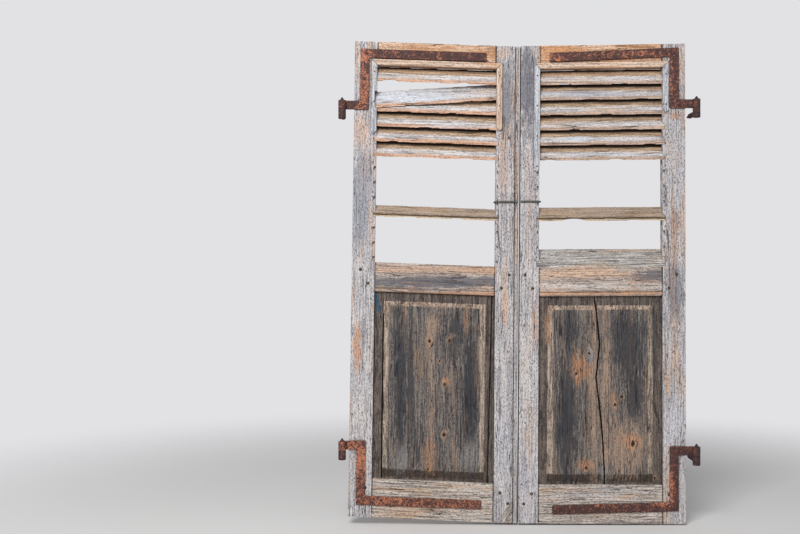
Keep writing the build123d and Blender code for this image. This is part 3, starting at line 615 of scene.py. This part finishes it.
# Panels: one raised and fielded board to each leaf, loose in its grooves, now split lengthwise.
# The field is nearly black with age, browner down the middle, with knots that kept their colour;
# the side bevels are paler, the top bevel is lighter, a painted highlight, and the foot bevel
# dark, painted shade, and the splits are painted near black as shade.
FIELD_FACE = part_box("left_panel_wide")[0].y
MARGIN_FACE = FIELD_FACE + 0.0060
PANEL_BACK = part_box("left_panel_wide")[1].y
PANEL_STEPS = (0.0080, 0.0034, 0.0040)
WORN_AWAY = 0.0008
TOP_BEVEL_UP = 0.664
FOOT_BEVEL_UP = 0.1600
FOOT_MARGIN_UP = 0.1275
LEFT_FOOT_SLOPE = 0.0455
SPLIT_INSET = 0.015
SPLIT_CLOSING = 0.0019
SPLIT_OPENING = 0.0009
PANEL_TONES = {
    "pale": tone(134, 124, 116),
    "grey": tone(70, 69, 72),
    "tan": tone(146, 124, 108),
    "brown": tone(88, 74, 66),
    "dark": tone(36, 34, 37),
    "arris": tone(170, 150, 134),
    "halo": tone(186, 140, 106),
    "heart": tone(40, 33, 32),
}
DEEP_SLATE = tone(52, 54, 60)
FADED_TAN = tone(172, 146, 126)
WARM_BROWN = tone(192, 140, 104)
ASH = tone(166, 162, 158)
KNOT_BLUE = tone(132, 140, 150)
TEAL = tone(26, 92, 124)
# Near black for painted shade in the panels' splits and crack.
CRACK_SHADE = tone(22, 19, 20)
PANEL_PATCHES = {
    "left": (
        (DEEP_SLATE, (-0.371, 0.430), (0.022, 0.280), 1.00),
        (DEEP_SLATE, (-0.338, 0.440), (0.014, 0.230), 0.80),
        (DEEP_SLATE, (-0.195, 0.600), (0.026, 0.080), 0.80),
        (DEEP_SLATE, (-0.153, 0.400), (0.026, 0.270), 1.00),
        (FADED_TAN, (-0.274, 0.420), (0.012, 0.230), 0.50),
        (FADED_TAN, (-0.270, 0.620), (0.022, 0.040), 0.60),
        (FADED_TAN, (-0.205, 0.590), (0.012, 0.008), 0.55),
        (WARM_BROWN, (-0.278, 0.215), (0.024, 0.055), 0.50),
        (WARM_BROWN, (-0.162, 0.640), (0.008, 0.050), 0.50),
        (WARM_BROWN, (-0.228, 0.447), (0.012, 0.014), 0.75),
        (FADED_TAN, (-0.225, 0.292), (0.010, 0.007), 0.60),
        (ASH, (-0.371, 0.205), (0.024, 0.050), 0.45),
        (ASH, (-0.150, 0.215), (0.030, 0.050), 0.45),
        # A short crack drawn near black: painted shade in the crack.
        (CRACK_SHADE, (-0.2555, 0.175), (0.0014, 0.055), 0.90),
        (TEAL, (-0.4470, 0.716), (0.0070, 0.014), 1.00),
        (TEAL, (-0.4415, 0.697), (0.0070, 0.016), 1.00),
        (TEAL, (-0.4365, 0.674), (0.0050, 0.016), 1.00),
    ),
    "right": (
        (DEEP_SLATE, (0.150, 0.330), (0.034, 0.230), 0.95),
        (DEEP_SLATE, (0.160, 0.610), (0.030, 0.080), 0.80),
        (DEEP_SLATE, (0.340, 0.560), (0.052, 0.120), 0.95),
        (DEEP_SLATE, (0.362, 0.400), (0.030, 0.100), 0.90),
        (DEEP_SLATE, (0.427, 0.560), (0.012, 0.160), 0.60),
        (FADED_TAN, (0.234, 0.420), (0.017, 0.280), 0.85),
        (FADED_TAN, (0.272, 0.420), (0.017, 0.220), 0.80),
        (FADED_TAN, (0.330, 0.240), (0.075, 0.090), 0.95),
        (WARM_BROWN, (0.194, 0.488), (0.030, 0.050), 0.85),
        (WARM_BROWN, (0.350, 0.262), (0.034, 0.026), 0.65),
        (WARM_BROWN, (0.209, 0.184), (0.026, 0.020), 0.70),
        (WARM_BROWN, (0.300, 0.385), (0.014, 0.030), 0.40),
        (WARM_BROWN, (0.092, 0.620), (0.010, 0.060), 0.55),
        (ASH, (0.268, 0.160), (0.020, 0.030), 0.40),
        (KNOT_BLUE, (0.2240, 0.5260), (0.0130, 0.0230), 1.00),
    ),
}
KNOTS = {
    "left": (
        ((-0.2786, 0.5719), 0.0055),
        ((-0.2162, 0.5738), 0.0055),
        ((-0.2465, 0.5095), 0.0035),
        ((-0.2315, 0.4377), 0.0050),
        ((-0.2334, 0.2799), 0.0060),
        ((-0.2833, 0.1725), 0.0040),
    ),
    "right": (
        ((0.2200, 0.5341), 0.0050),
        ((0.1797, 0.4699), 0.0050),
        ((0.3217, 0.3981), 0.0050),
        ((0.3008, 0.3735), 0.0045),
        ((0.3566, 0.2515), 0.0085),
        ((0.2109, 0.1757), 0.0050),
        ((0.4265, 0.1435), 0.0040),
    ),
}


def build_bevels():
    """Paler side bevels round the field; the top bevel lighter, a painted highlight, and the foot bevel
    dark, painted shade; and brown margins outside them.
    """
    group, takes, gives = new_layer("panel_bevels")
    spot = parts_of(group, takes["Place"])
    patchy = clouds(group, takes["Place"], (110.0, 110.0, 22.0), 4.0, 0.65)
    uneven = spread(group, weigh(group, (takes["Streaked"], 0.7), (patchy, 0.3)), 0.43, 0.57)
    side_bevel = lay(group, tone(196, 178, 160), tone(116, 102, 92), uneven)
    # Painted highlight on the top bevel, painted shade on the foot bevel.
    top_bevel_lit = lay(group, tone(206, 182, 162), tone(124, 106, 94), uneven)
    foot_bevel_shaded = lay(group, tone(82, 68, 58), tone(52, 44, 40), uneven)
    margin = lay(group, tone(122, 110, 101), tone(70, 62, 60), uneven)
    foot_margin = lay(group, tone(186, 168, 152), tone(126, 110, 98), uneven)
    racked = calc(group, "MULTIPLY", calc(group, "MINIMUM", spot["X"], 0.0), LEFT_FOOT_SLOPE)
    up = calc(group, "ADD", spot["Z"], racked)
    bevel = lay(group, side_bevel, top_bevel_lit, spread(group, spot["Z"], TOP_BEVEL_UP - 0.003, TOP_BEVEL_UP))
    bevel = lay(group, bevel, foot_bevel_shaded, spread(group, up, FOOT_BEVEL_UP, FOOT_BEVEL_UP - 0.006))
    margin = lay(group, margin, foot_margin, spread(group, up, FOOT_MARGIN_UP, FOOT_MARGIN_UP - 0.003))
    ragged = calc(group, "MULTIPLY", calc(group, "SUBTRACT", patchy, 0.5), 0.0012)
    depth = calc(group, "ADD", spot["Y"], ragged)
    sloping = spread(group, depth, FIELD_FACE + 0.6 * WORN_AWAY, FIELD_FACE + 2.2 * WORN_AWAY)
    colour = lay(group, takes["Colour"], bevel, calc(group, "MULTIPLY", sloping, 0.9))
    flat = spread(group, depth, MARGIN_FACE - 1.0 * WORN_AWAY, MARGIN_FACE - 0.2 * WORN_AWAY)
    put(gives["Colour"], lay(group, colour, margin, flat))
    return group


def build_panel_back():
    """Plain grey-brown on the panel's back, which no rain reaches, and near-black painted shade on the walls
    of the splits.
    """
    group, takes, gives = new_layer("panel_back")
    back = streaky(group, tone(138, 126, 116), tone(86, 78, 73), takes["Streaked"])
    depth = parts_of(group, takes["Place"])["Y"]
    colour = lay(group, takes["Colour"], back, spread(group, depth, PANEL_BACK - 0.004, PANEL_BACK - 0.002))
    normal = group.nodes.new("ShaderNodeNewGeometry").outputs["Normal"]
    sideways = calc(group, "ABSOLUTE", parts_of(group, normal)["X"])
    put(gives["Colour"], lay(group, colour, CRACK_SHADE, spread(group, sideways, 0.78, 0.90)))
    return group


def shape_splits(board, node, towards):
    """Make the splits of a board narrow Vs: worn open at the front and nearly closed behind."""
    low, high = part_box(node)
    walls = {}
    for face in board.data.polygons:
        within = low.x + SPLIT_INSET < face.center.x < high.x - SPLIT_INSET
        if abs(face.normal.x) > 0.85 and (within or face.normal.x * towards > 0):
            for index in face.vertices:
                walls[index] = 1.0 if face.normal.x > 0 else -1.0
    for index, outward in walls.items():
        vert = board.data.vertices[index]
        if vert.co.y > MARGIN_FACE + 0.0035:
            vert.co.x += outward * SPLIT_CLOSING
        elif vert.co.y < MARGIN_FACE + 0.0015:
            vert.co.x -= outward * SPLIT_OPENING


bevels = ((build_bevels(), {}),)
panel_back = ((build_panel_back(), {}),)
PANEL_GRAIN = Vector((0.0, 0.0, 1.0))
PANEL_SEEDS = {"left": 24.0, "right": 25.0}
panel_finish = {side: wood_material(
    f"aged_{side}_panel", PANEL_GRAIN, PANEL_TONES, PANEL_PATCHES[side], bevels, panel_back, KNOTS[side],
    seed=PANEL_SEEDS[side], cracking=0.8, warmth=0.4, flecking=0.45, bump=0.9) for side in PANEL_SEEDS}
PANEL_BOARDS = (
    ("left_panel_wide", "left_panel_narrow"),
    ("left_panel_narrow", "left_panel_wide"),
    ("right_panel_wide", "right_panel_narrow"),
    ("right_panel_narrow", "right_panel_wide"),
)
for number, (node, other) in enumerate(PANEL_BOARDS):
    board, grain = worn_piece(node, PANEL_STEPS, wear=0.8, depth=WORN_AWAY, seed=21.0 + number)
    towards = 1.0 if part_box(other)[0].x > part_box(node)[0].x else -1.0
    shape_splits(board, node, towards)
    board.data.materials.append(panel_finish[node.split("_")[0]])

# Slats: thin boards about 48 mm wide, housed at a slant with a plumb nose. The nose is orange
# where it stays dry, the face behind it is washed pale, and the part under the next slat is ochre,
# with painted shade in deep brown at the back; the undersides are painted dark as shade.
# The tenth of each leaf has split along its length, with painted shade along the split, and the
# last of the right leaf is bleached.
SLAT_SLOPE = Vector((0.0, 1.0, 1.327)).normalized()
SLAT_FRONT = STREET_FACE + 0.0005
SLAT_STEPS = (0.0060, 0.0026, 0.0030)
SLATS = {"left": (1, 2, 3, 4, 5, 6, 10), "right": (1, 2, 3, 4, 5, 6, 10, 13)}
SLIPPED = "left_slat_2"
SPLIT_SLAT = 10
LOWEST_SLAT = 13
LOWEST_SEAT = 0.0026
LOWEST_FOOT = 0.004
LIP_HEIGHT = 0.0100
SLAT_TONES = {
    "pale": tone(224, 219, 217),
    "grey": tone(164, 158, 158),
    "tan": tone(214, 190, 168),
    "brown": tone(160, 138, 122),
    "dark": tone(84, 72, 68),
    "arris": tone(230, 208, 188),
}
SPLIT_TONES = {
    "pale": tone(182, 162, 144),
    "grey": tone(148, 130, 114),
    "tan": tone(178, 152, 128),
    "brown": tone(132, 112, 96),
    "dark": tone(70, 56, 46),
    "arris": tone(206, 186, 160),
}
LOWEST_TONES = {
    "pale": tone(202, 196, 190),
    "grey": tone(128, 122, 119),
    "tan": tone(200, 178, 156),
    "brown": tone(146, 128, 112),
    "dark": tone(72, 66, 62),
    "arris": tone(214, 200, 182),
}
ICE = tone(214, 220, 230)
DULL_ICE = tone(176, 182, 194)
SPLIT_LIP = tone(216, 192, 158)
# Dark brown for painted shade along the split of the tenth slats.
SPLIT_SHADE_LINE = tone(58, 44, 36)
# Deep brown for painted shade at the back of each slat, under the slat above.
BACK_SHADE_BROWN = tone(62, 46, 36)
SLAT_PATCHES = {
    "left_slat_2": ((ICE, (-0.340, 1.338), (0.170, 0.022), 0.90),),
    "left_slat_4": ((ICE, (-0.200, 1.242), (0.120, 0.009), 0.45),),
    "right_slat_2": ((DULL_ICE, (0.210, 1.346), (0.150, 0.012), 0.65),),
    "right_slat_5": ((ICE, (0.190, 1.205), (0.065, 0.008), 0.95),),
    "right_slat_6": ((ICE, (0.260, 1.156), (0.190, 0.006), 0.45),),
}
LIP_TONES = {
    "left": {"Pale": tone(222, 178, 148), "Dark": tone(176, 128, 100)},
    "right": {"Pale": tone(206, 178, 158), "Dark": tone(158, 130, 112)},
}


def foot_of(slat, grain):
    """Direction up across a slat, and how far along it the foot of its nose lies."""
    upward = Vector((-grain.z, 0.0, grain.x))
    front = [vert.co.dot(upward) for vert in slat.data.vertices if vert.co.y < SLAT_FRONT + 0.002]
    return upward, sorted(front)[len(front) // 20]


def height_above_foot(tree, takes):
    """How high a point lies above the foot of a slat's nose."""
    along = measure(tree, "DOT_PRODUCT", takes["Place"], takes["Upward"])
    return calc(tree, "SUBTRACT", along, takes["Foot"])


def build_underside_shade():
    """The underside of a slat painted nearly black: painted shade on the faces that look down."""
    group, takes, gives = new_layer("slat_underside")
    facing_up = parts_of(group, group.nodes.new("ShaderNodeNewGeometry").outputs["Normal"])["Z"]
    under = streaky(group, tone(104, 86, 72), tone(60, 48, 41), takes["Streaked"])
    put(gives["Colour"], lay(group, takes["Colour"], under, spread(group, facing_up, -0.16, -0.42)))
    return group


def build_split():
    """The clean yellowish lip of a slat that has split, and a dark line above it: painted shade in the
    split.
    """
    group, takes, gives = new_layer("slat_split", Upward="Vector", Foot="Float")
    cloud = clouds(group, takes["Place"], 30.0)
    wander = calc(group, "MULTIPLY", calc(group, "SUBTRACT", cloud, 0.5), 0.006)
    height = calc(group, "ADD", height_above_foot(group, takes), wander)
    lip = calc(group, "MULTIPLY", spread(group, height, 0.0070, 0.0050), 0.80)
    colour = lay(group, takes["Colour"], SPLIT_LIP, lip)
    from_shade_line = calc(group, "ABSOLUTE", calc(group, "SUBTRACT", height, 0.0085))
    shade_line = calc(group, "MULTIPLY", spread(group, from_shade_line, 0.0028, 0.0010), 0.85)
    put(gives["Colour"], lay(group, colour, SPLIT_SHADE_LINE, shade_line))
    return group


def build_shelter_and_back_shade():
    """Ochre under the slat above, and deep brown at the back: painted shade under the slat above."""
    group, takes, gives = new_layer("slat_shelter")
    depth = parts_of(group, takes["Place"])["Y"]
    shift = calc(group, "MULTIPLY", calc(group, "SUBTRACT", takes["Streaked"], 0.5), 0.014)
    ochre = streaky(group, tone(206, 178, 148), tone(150, 122, 98), takes["Streaked"])
    dry = spread(group, calc(group, "ADD", depth, shift), SLAT_FRONT + 0.006, SLAT_FRONT + 0.012)
    colour = lay(group, takes["Colour"], ochre, dry)
    back_shade = spread(group, depth, SLAT_FRONT + 0.0185, SLAT_FRONT + 0.023)
    put(gives["Colour"], lay(group, colour, BACK_SHADE_BROWN, back_shade))
    return group


def build_lip():
    """Orange along the lower lip of a slat's nose."""
    group, takes, gives = new_layer("slat_lip", Upward="Vector", Foot="Float", Pale="Color", Dark="Color")
    shift = calc(group, "MULTIPLY", calc(group, "SUBTRACT", takes["Streaked"], 0.5), 0.014)
    height = calc(group, "ADD", height_above_foot(group, takes), shift)
    lip = streaky(group, takes["Pale"], takes["Dark"], takes["Streaked"])
    low = spread(group, height, LIP_HEIGHT + 0.003, LIP_HEIGHT - 0.003)
    put(gives["Colour"], lay(group, takes["Colour"], lip, calc(group, "MULTIPLY", low, 0.9)))
    return group


# Painted shade on the slats' undersides.
underside_shade = ((build_underside_shade(), {}),)
shelter_and_back_shade_group = build_shelter_and_back_shade()
lip_group = build_lip()
split_group = build_split()
for side, numbers in SLATS.items():
    for number in numbers:
        node = f"{side}_slat_{number}"
        slat, grain = worn_piece(node, SLAT_STEPS, wear=0.9, depth=0.0006, seed=30.0 + number,
                                 slope=SLAT_SLOPE)
        upward, foot = foot_of(slat, grain)
        nose = {"Upward": tuple(upward), "Foot": foot}
        tones = SLAT_TONES
        layers = [(shelter_and_back_shade_group, {}), (lip_group, nose | LIP_TONES[side])]
        if node == SLIPPED:
            layers = layers[1:]
        if number == SPLIT_SLAT:
            tones = SPLIT_TONES
            layers = [(split_group, nose)]
        if number == LOWEST_SLAT:
            tones = LOWEST_TONES
            layers = []
            for vert in slat.data.vertices:
                if vert.co.dot(upward) < foot + LOWEST_FOOT:
                    vert.co.z -= LOWEST_SEAT
        slat.data.materials.append(wood_material(
            f"aged_{node}", grain, tones, SLAT_PATCHES.get(node, ()), layers, underside_shade,
            seed=30.0 + number, cracking=0.9 if number == LOWEST_SLAT else 0.4, warmth=0.35,
            flecking=0.25, dirt_and_shade_amount=0.7, dirt_and_shade_reach=0.008))

# Cover beads: small rounded strips nailed over the ends of the slats, mitred at the head. Rain
# has taken the lower lengths of all four side beads, and washed three of them grey.
BEAD_TONES = {
    "pale": tone(228, 204, 184),
    "grey": tone(176, 150, 132),
    "tan": tone(216, 172, 138),
    "brown": tone(160, 124, 98),
    "dark": tone(84, 66, 56),
    "arris": tone(242, 220, 196),
}
WASHED_TONES = {
    "pale": tone(212, 213, 217),
    "grey": tone(150, 152, 160),
    "tan": tone(204, 192, 182),
    "brown": tone(146, 136, 130),
    "dark": tone(66, 62, 64),
    "arris": tone(222, 220, 220),
}
GREY_BEADS = ("left_hanging_bead", "right_hanging_bead", "right_meeting_bead")
BEAD_STEPS = (0.0060, 0.0024, 0.0024)
for side in ("left", "right"):
    for name in ("head", "hanging", "meeting"):
        node = f"{side}_{name}_bead"
        bead, grain = worn_piece(node, BEAD_STEPS, wear=0.8, depth=0.0004, seed=50.0)
        tones = WASHED_TONES if node in GREY_BEADS else BEAD_TONES
        bead.data.materials.append(wood_material(f"aged_{node}", grain, tones, seed=51.0, flecking=0.3))

# Pegs: riven oak, driven through the tenons of the mid and bottom rails from the street side.
# They are cut off level, so only their dark end grain shows.
PEG_TONES = {
    "pale": tone(84, 72, 66),
    "grey": tone(58, 50, 47),
    "tan": tone(92, 72, 58),
    "brown": tone(62, 48, 40),
    "dark": tone(30, 25, 24),
    "arris": tone(84, 72, 64),
}


def finish_node(node, material):
    """Give a node's own solid its material."""
    materials = frame["nodes"][node].data.materials
    materials.clear()
    materials.append(material)


peg_wood = wood_material("peg_end_grain", DEPTH, PEG_TONES, seed=60.0, bump=0.4)
for side in ("left", "right"):
    finish_node(f"{side}_pegs", peg_wood)

# Straps, nails and pintles: wrought iron, once painted, now dark purple-brown scale with orange
# rust where it has flaked: in the corners, round the nails and along the lower edges. The straps
# are bent to a Z and nailed on, and their rolled eyes turn on the pintles.
SCALE = tone(88, 60, 58)
DARK_SCALE = tone(68, 52, 55)
PITTED_SCALE = tone(50, 36, 38)
PIT = tone(40, 27, 26)
RUST = tone(118, 76, 62)
BRIGHT_RUST = tone(196, 126, 94)
NAIL_RING = (0.010, 0.010)
STRAP_STEPS = (0.0050, 0.0030, 0.0025)
PINTLE_STEPS = (0.0040, 0.0040, 0.0040)
PLAIN_RUST = {
    ("left", "upper"): 0.22,
    ("right", "upper"): 0.25,
    ("left", "lower"): 0.55,
    ("right", "lower"): 0.20,
}
STRAP_PATCHES = {
    ("left", "upper"): (
        ((-0.490, 1.462), (0.040, 0.022), 1.0),
        ((-0.484, 1.360), (0.022, 0.085), 0.75),
        ((-0.340, 1.448), (0.110, 0.008), 0.45),
        ((-0.3775, 1.4658), NAIL_RING, 0.90),
        ((-0.2496, 1.4626), NAIL_RING, 0.90),
    ),
    ("right", "upper"): (
        ((0.456, 1.375), (0.022, 0.080), 0.70),
        ((0.110, 1.455), (0.030, 0.014), 0.50),
        ((0.330, 1.470), (0.120, 0.009), 0.40),
        ((0.120, 1.4554), NAIL_RING, 0.90),
        ((0.3785, 1.4680), NAIL_RING, 0.90),
    ),
    ("left", "lower"): (
        ((-0.500, 0.205), (0.060, 0.050), 0.55),
        ((-0.400, 0.082), (0.060, 0.020), 0.30),
    ),
    ("right", "lower"): (
        ((0.462, 0.125), (0.022, 0.060), 1.00),
        ((0.440, 0.078), (0.040, 0.020), 0.85),
        ((0.280, 0.072), (0.090, 0.016), 0.55),
    ),
}


def build_rust():
    """Rusted iron: dark scale with pits, and rust in patches that is bright where it is thick."""
    group, takes, gives = new_group(
        "iron_rust", {"Place": "Vector", "Rusting": "Float", "Scale": "Color", "Rust": "Color",
                      "Bright": "Color"}, {"Colour": "Color", "Roughness": "Float", "Relief": "Float"})
    broad = clouds(group, takes["Place"], 75.0, 3.0, 0.6)
    specks = clouds(group, takes["Place"], 250.0, 3.0, 0.75)
    pits = clouds(group, takes["Place"], 460.0, 3.0, 0.6)
    rusted = calc(group, "ADD", weigh(group, (broad, 0.30), (specks, 0.70)), takes["Rusting"])
    colour = lay(group, takes["Scale"], PITTED_SCALE, spread(group, pits, 0.42, 0.58))
    colour = lay(group, colour, takes["Rust"], spread(group, rusted, 0.46, 0.54))
    bright = calc(group, "MULTIPLY", spread(group, rusted, 0.53, 0.59), 0.9)
    colour = lay(group, colour, takes["Bright"], bright)
    pitted = calc(group, "MULTIPLY", spread(group, pits, 0.45, 0.34), 0.75)
    put(gives["Colour"], lay(group, colour, PIT, pitted))
    put(gives["Roughness"], spread(group, specks, 0.3, 0.7, 0.60, 0.92))
    put(gives["Relief"], weigh(group, (specks, 0.6), (pits, 0.5)))
    return group


rust_group = build_rust()


def rust_material(name, scale, rust, bright, rusting, patches=()):
    """Rusted iron, with more rust at the patches: each a centre, a half size and a strength."""
    material = bpy.data.materials.new(name)
    material.use_nodes = True
    tree = material.node_tree
    shader = tree.nodes["Principled BSDF"]
    shader.inputs["Specular IOR Level"].default_value = 0.35
    place = tree.nodes.new("ShaderNodeTexCoord").outputs["Object"]
    squeezed = move(tree, "MULTIPLY", place, (1.0, 1.0, 7.0))
    amount = (rusting - 0.5) * 0.16
    for centre, reach, strength in patches:
        mask = stain(tree, place, squeezed, centre, reach)
        amount = calc(tree, "MULTIPLY_ADD", mask, strength * 0.13, amount)
    look = use_group(tree, rust_group, Place=place, Rusting=amount, Scale=scale, Rust=rust, Bright=bright)
    # Dirt and painted shade in the corners of the iron, by occlusion.
    colour = use_group(tree, dirt_and_shade_group, Colour=look["Colour"], Reach=0.006, Amount=0.7)["Colour"]
    put(shader.inputs["Base Color"], colour)
    put(shader.inputs["Roughness"], look["Roughness"])
    raise_relief(tree, shader, look["Relief"], 0.8, 0.0012)
    return material


pintle_iron = rust_material("pintle_rust", DARK_SCALE, RUST, BRIGHT_RUST, 0.15)
nail_iron = rust_material("nail_rust", DARK_SCALE, RUST, BRIGHT_RUST, 0.45)
for side in ("left", "right"):
    for level in ("upper", "lower"):
        strap, grain = worn_piece(f"{side}_{level}_strap", STRAP_STEPS, wear=0.6, depth=0.0005, seed=70.0)
        strap.data.materials.append(rust_material(
            f"{side}_{level}_strap_rust", SCALE, RUST, BRIGHT_RUST, PLAIN_RUST[side, level],
            STRAP_PATCHES[side, level]))
        pintle, grain = worn_piece(f"{side}_{level}_pintle", PINTLE_STEPS, wear=0.3, depth=0.0004, seed=74.0)
        pintle.data.materials.append(pintle_iron)
    finish_node(f"{side}_bead_nails", nail_iron)
    finish_node(f"{side}_strap_nails", nail_iron)

# Tie wire: a length of old galvanised wire wound once round both meeting stiles to hold them
# shut. It is dull grey-green, and each leaf carries its half of the loop.
DULL_ZINC = tone(104, 110, 98)
STAINED_ZINC = tone(84, 84, 74)
BRIGHT_ZINC = tone(140, 144, 132)
wire_finish = rust_material("wire_zinc", DULL_ZINC, STAINED_ZINC, BRIGHT_ZINC, 0.3)
for side in ("left", "right"):
    finish_node(f"{side}_tie_wire", wire_finish)

# Setting: a pale floor just under the leaves that fades out far from them, soft light from the
# sky and a large lamp high in front, and the camera in front and to the left of the leaves.
FLOOR_REACH = 3.2
FLOOR_DROP = 0.002
FLOOR_FADE = (1.1, 2.9)
FLOOR_TONE = tone(226, 225, 223)
SKY_TONE = tone(226, 226, 229)
SKY_STRENGTH = 0.55
LAMP_SIZE = 1.8
LAMP_POWER = 150.0
LAMP_PLACE = Vector((-1.3, -3.5, 3.1))
LAMP_AIM = Vector((0.0, 0.0, 0.8))
CAMERA_PLACE = (-0.371, -3.505, 0.804)
CAMERA_LENS = 50.0

floor_mesh = bpy.data.meshes.new("floor")
floor_corners = [(-FLOOR_REACH, -FLOOR_REACH), (FLOOR_REACH, -FLOOR_REACH),
                 (FLOOR_REACH, FLOOR_REACH), (-FLOOR_REACH, FLOOR_REACH)]
floor_mesh.from_pydata([(x, y, -FLOOR_DROP) for x, y in floor_corners], [], [(0, 1, 2, 3)])
floor = bpy.data.objects.new("floor", floor_mesh)
bpy.context.scene.collection.objects.link(floor)
floor_finish = bpy.data.materials.new("floor_pale")
floor_finish.use_nodes = True
floor_tree = floor_finish.node_tree
floor_shader = floor_tree.nodes["Principled BSDF"]
floor_shader.inputs["Base Color"].default_value = FLOOR_TONE
floor_shader.inputs["Roughness"].default_value = 0.9
floor_place = floor_tree.nodes.new("ShaderNodeTexCoord").outputs["Object"]
floor_distance = measure(floor_tree, "LENGTH", floor_place)
put(floor_shader.inputs["Alpha"], spread(floor_tree, floor_distance, FLOOR_FADE[1], FLOOR_FADE[0]))
floor_mesh.materials.append(floor_finish)

world = bpy.data.worlds.new("soft_sky")
bpy.context.scene.world = world
world.use_nodes = True
sky = world.node_tree
background = sky.nodes["Background"]
seen = sky.nodes.new("ShaderNodeLightPath").outputs["Is Camera Ray"]
put(background.inputs["Color"], SKY_TONE)
put(background.inputs["Strength"], spread(sky, seen, 0.0, 1.0, SKY_STRENGTH, 1.0))

lamp_light = bpy.data.lights.new("front_lamp", "AREA")
lamp_light.size = LAMP_SIZE
lamp_light.energy = LAMP_POWER
lamp = bpy.data.objects.new("front_lamp", lamp_light)
lamp.location = LAMP_PLACE
lamp.rotation_euler = (LAMP_AIM - LAMP_PLACE).to_track_quat("-Z", "Y").to_euler()
bpy.context.scene.collection.objects.link(lamp)

camera_data = bpy.data.cameras.new("camera")
camera_data.lens = CAMERA_LENS
camera = bpy.data.objects.new("camera", camera_data)
camera.location = CAMERA_PLACE
camera.rotation_euler = (pi / 2, 0.0, 0.0)
bpy.context.scene.collection.objects.link(camera)
bpy.context.scene.camera = camera
bpy.context.scene.view_settings.view_transform = "Standard"
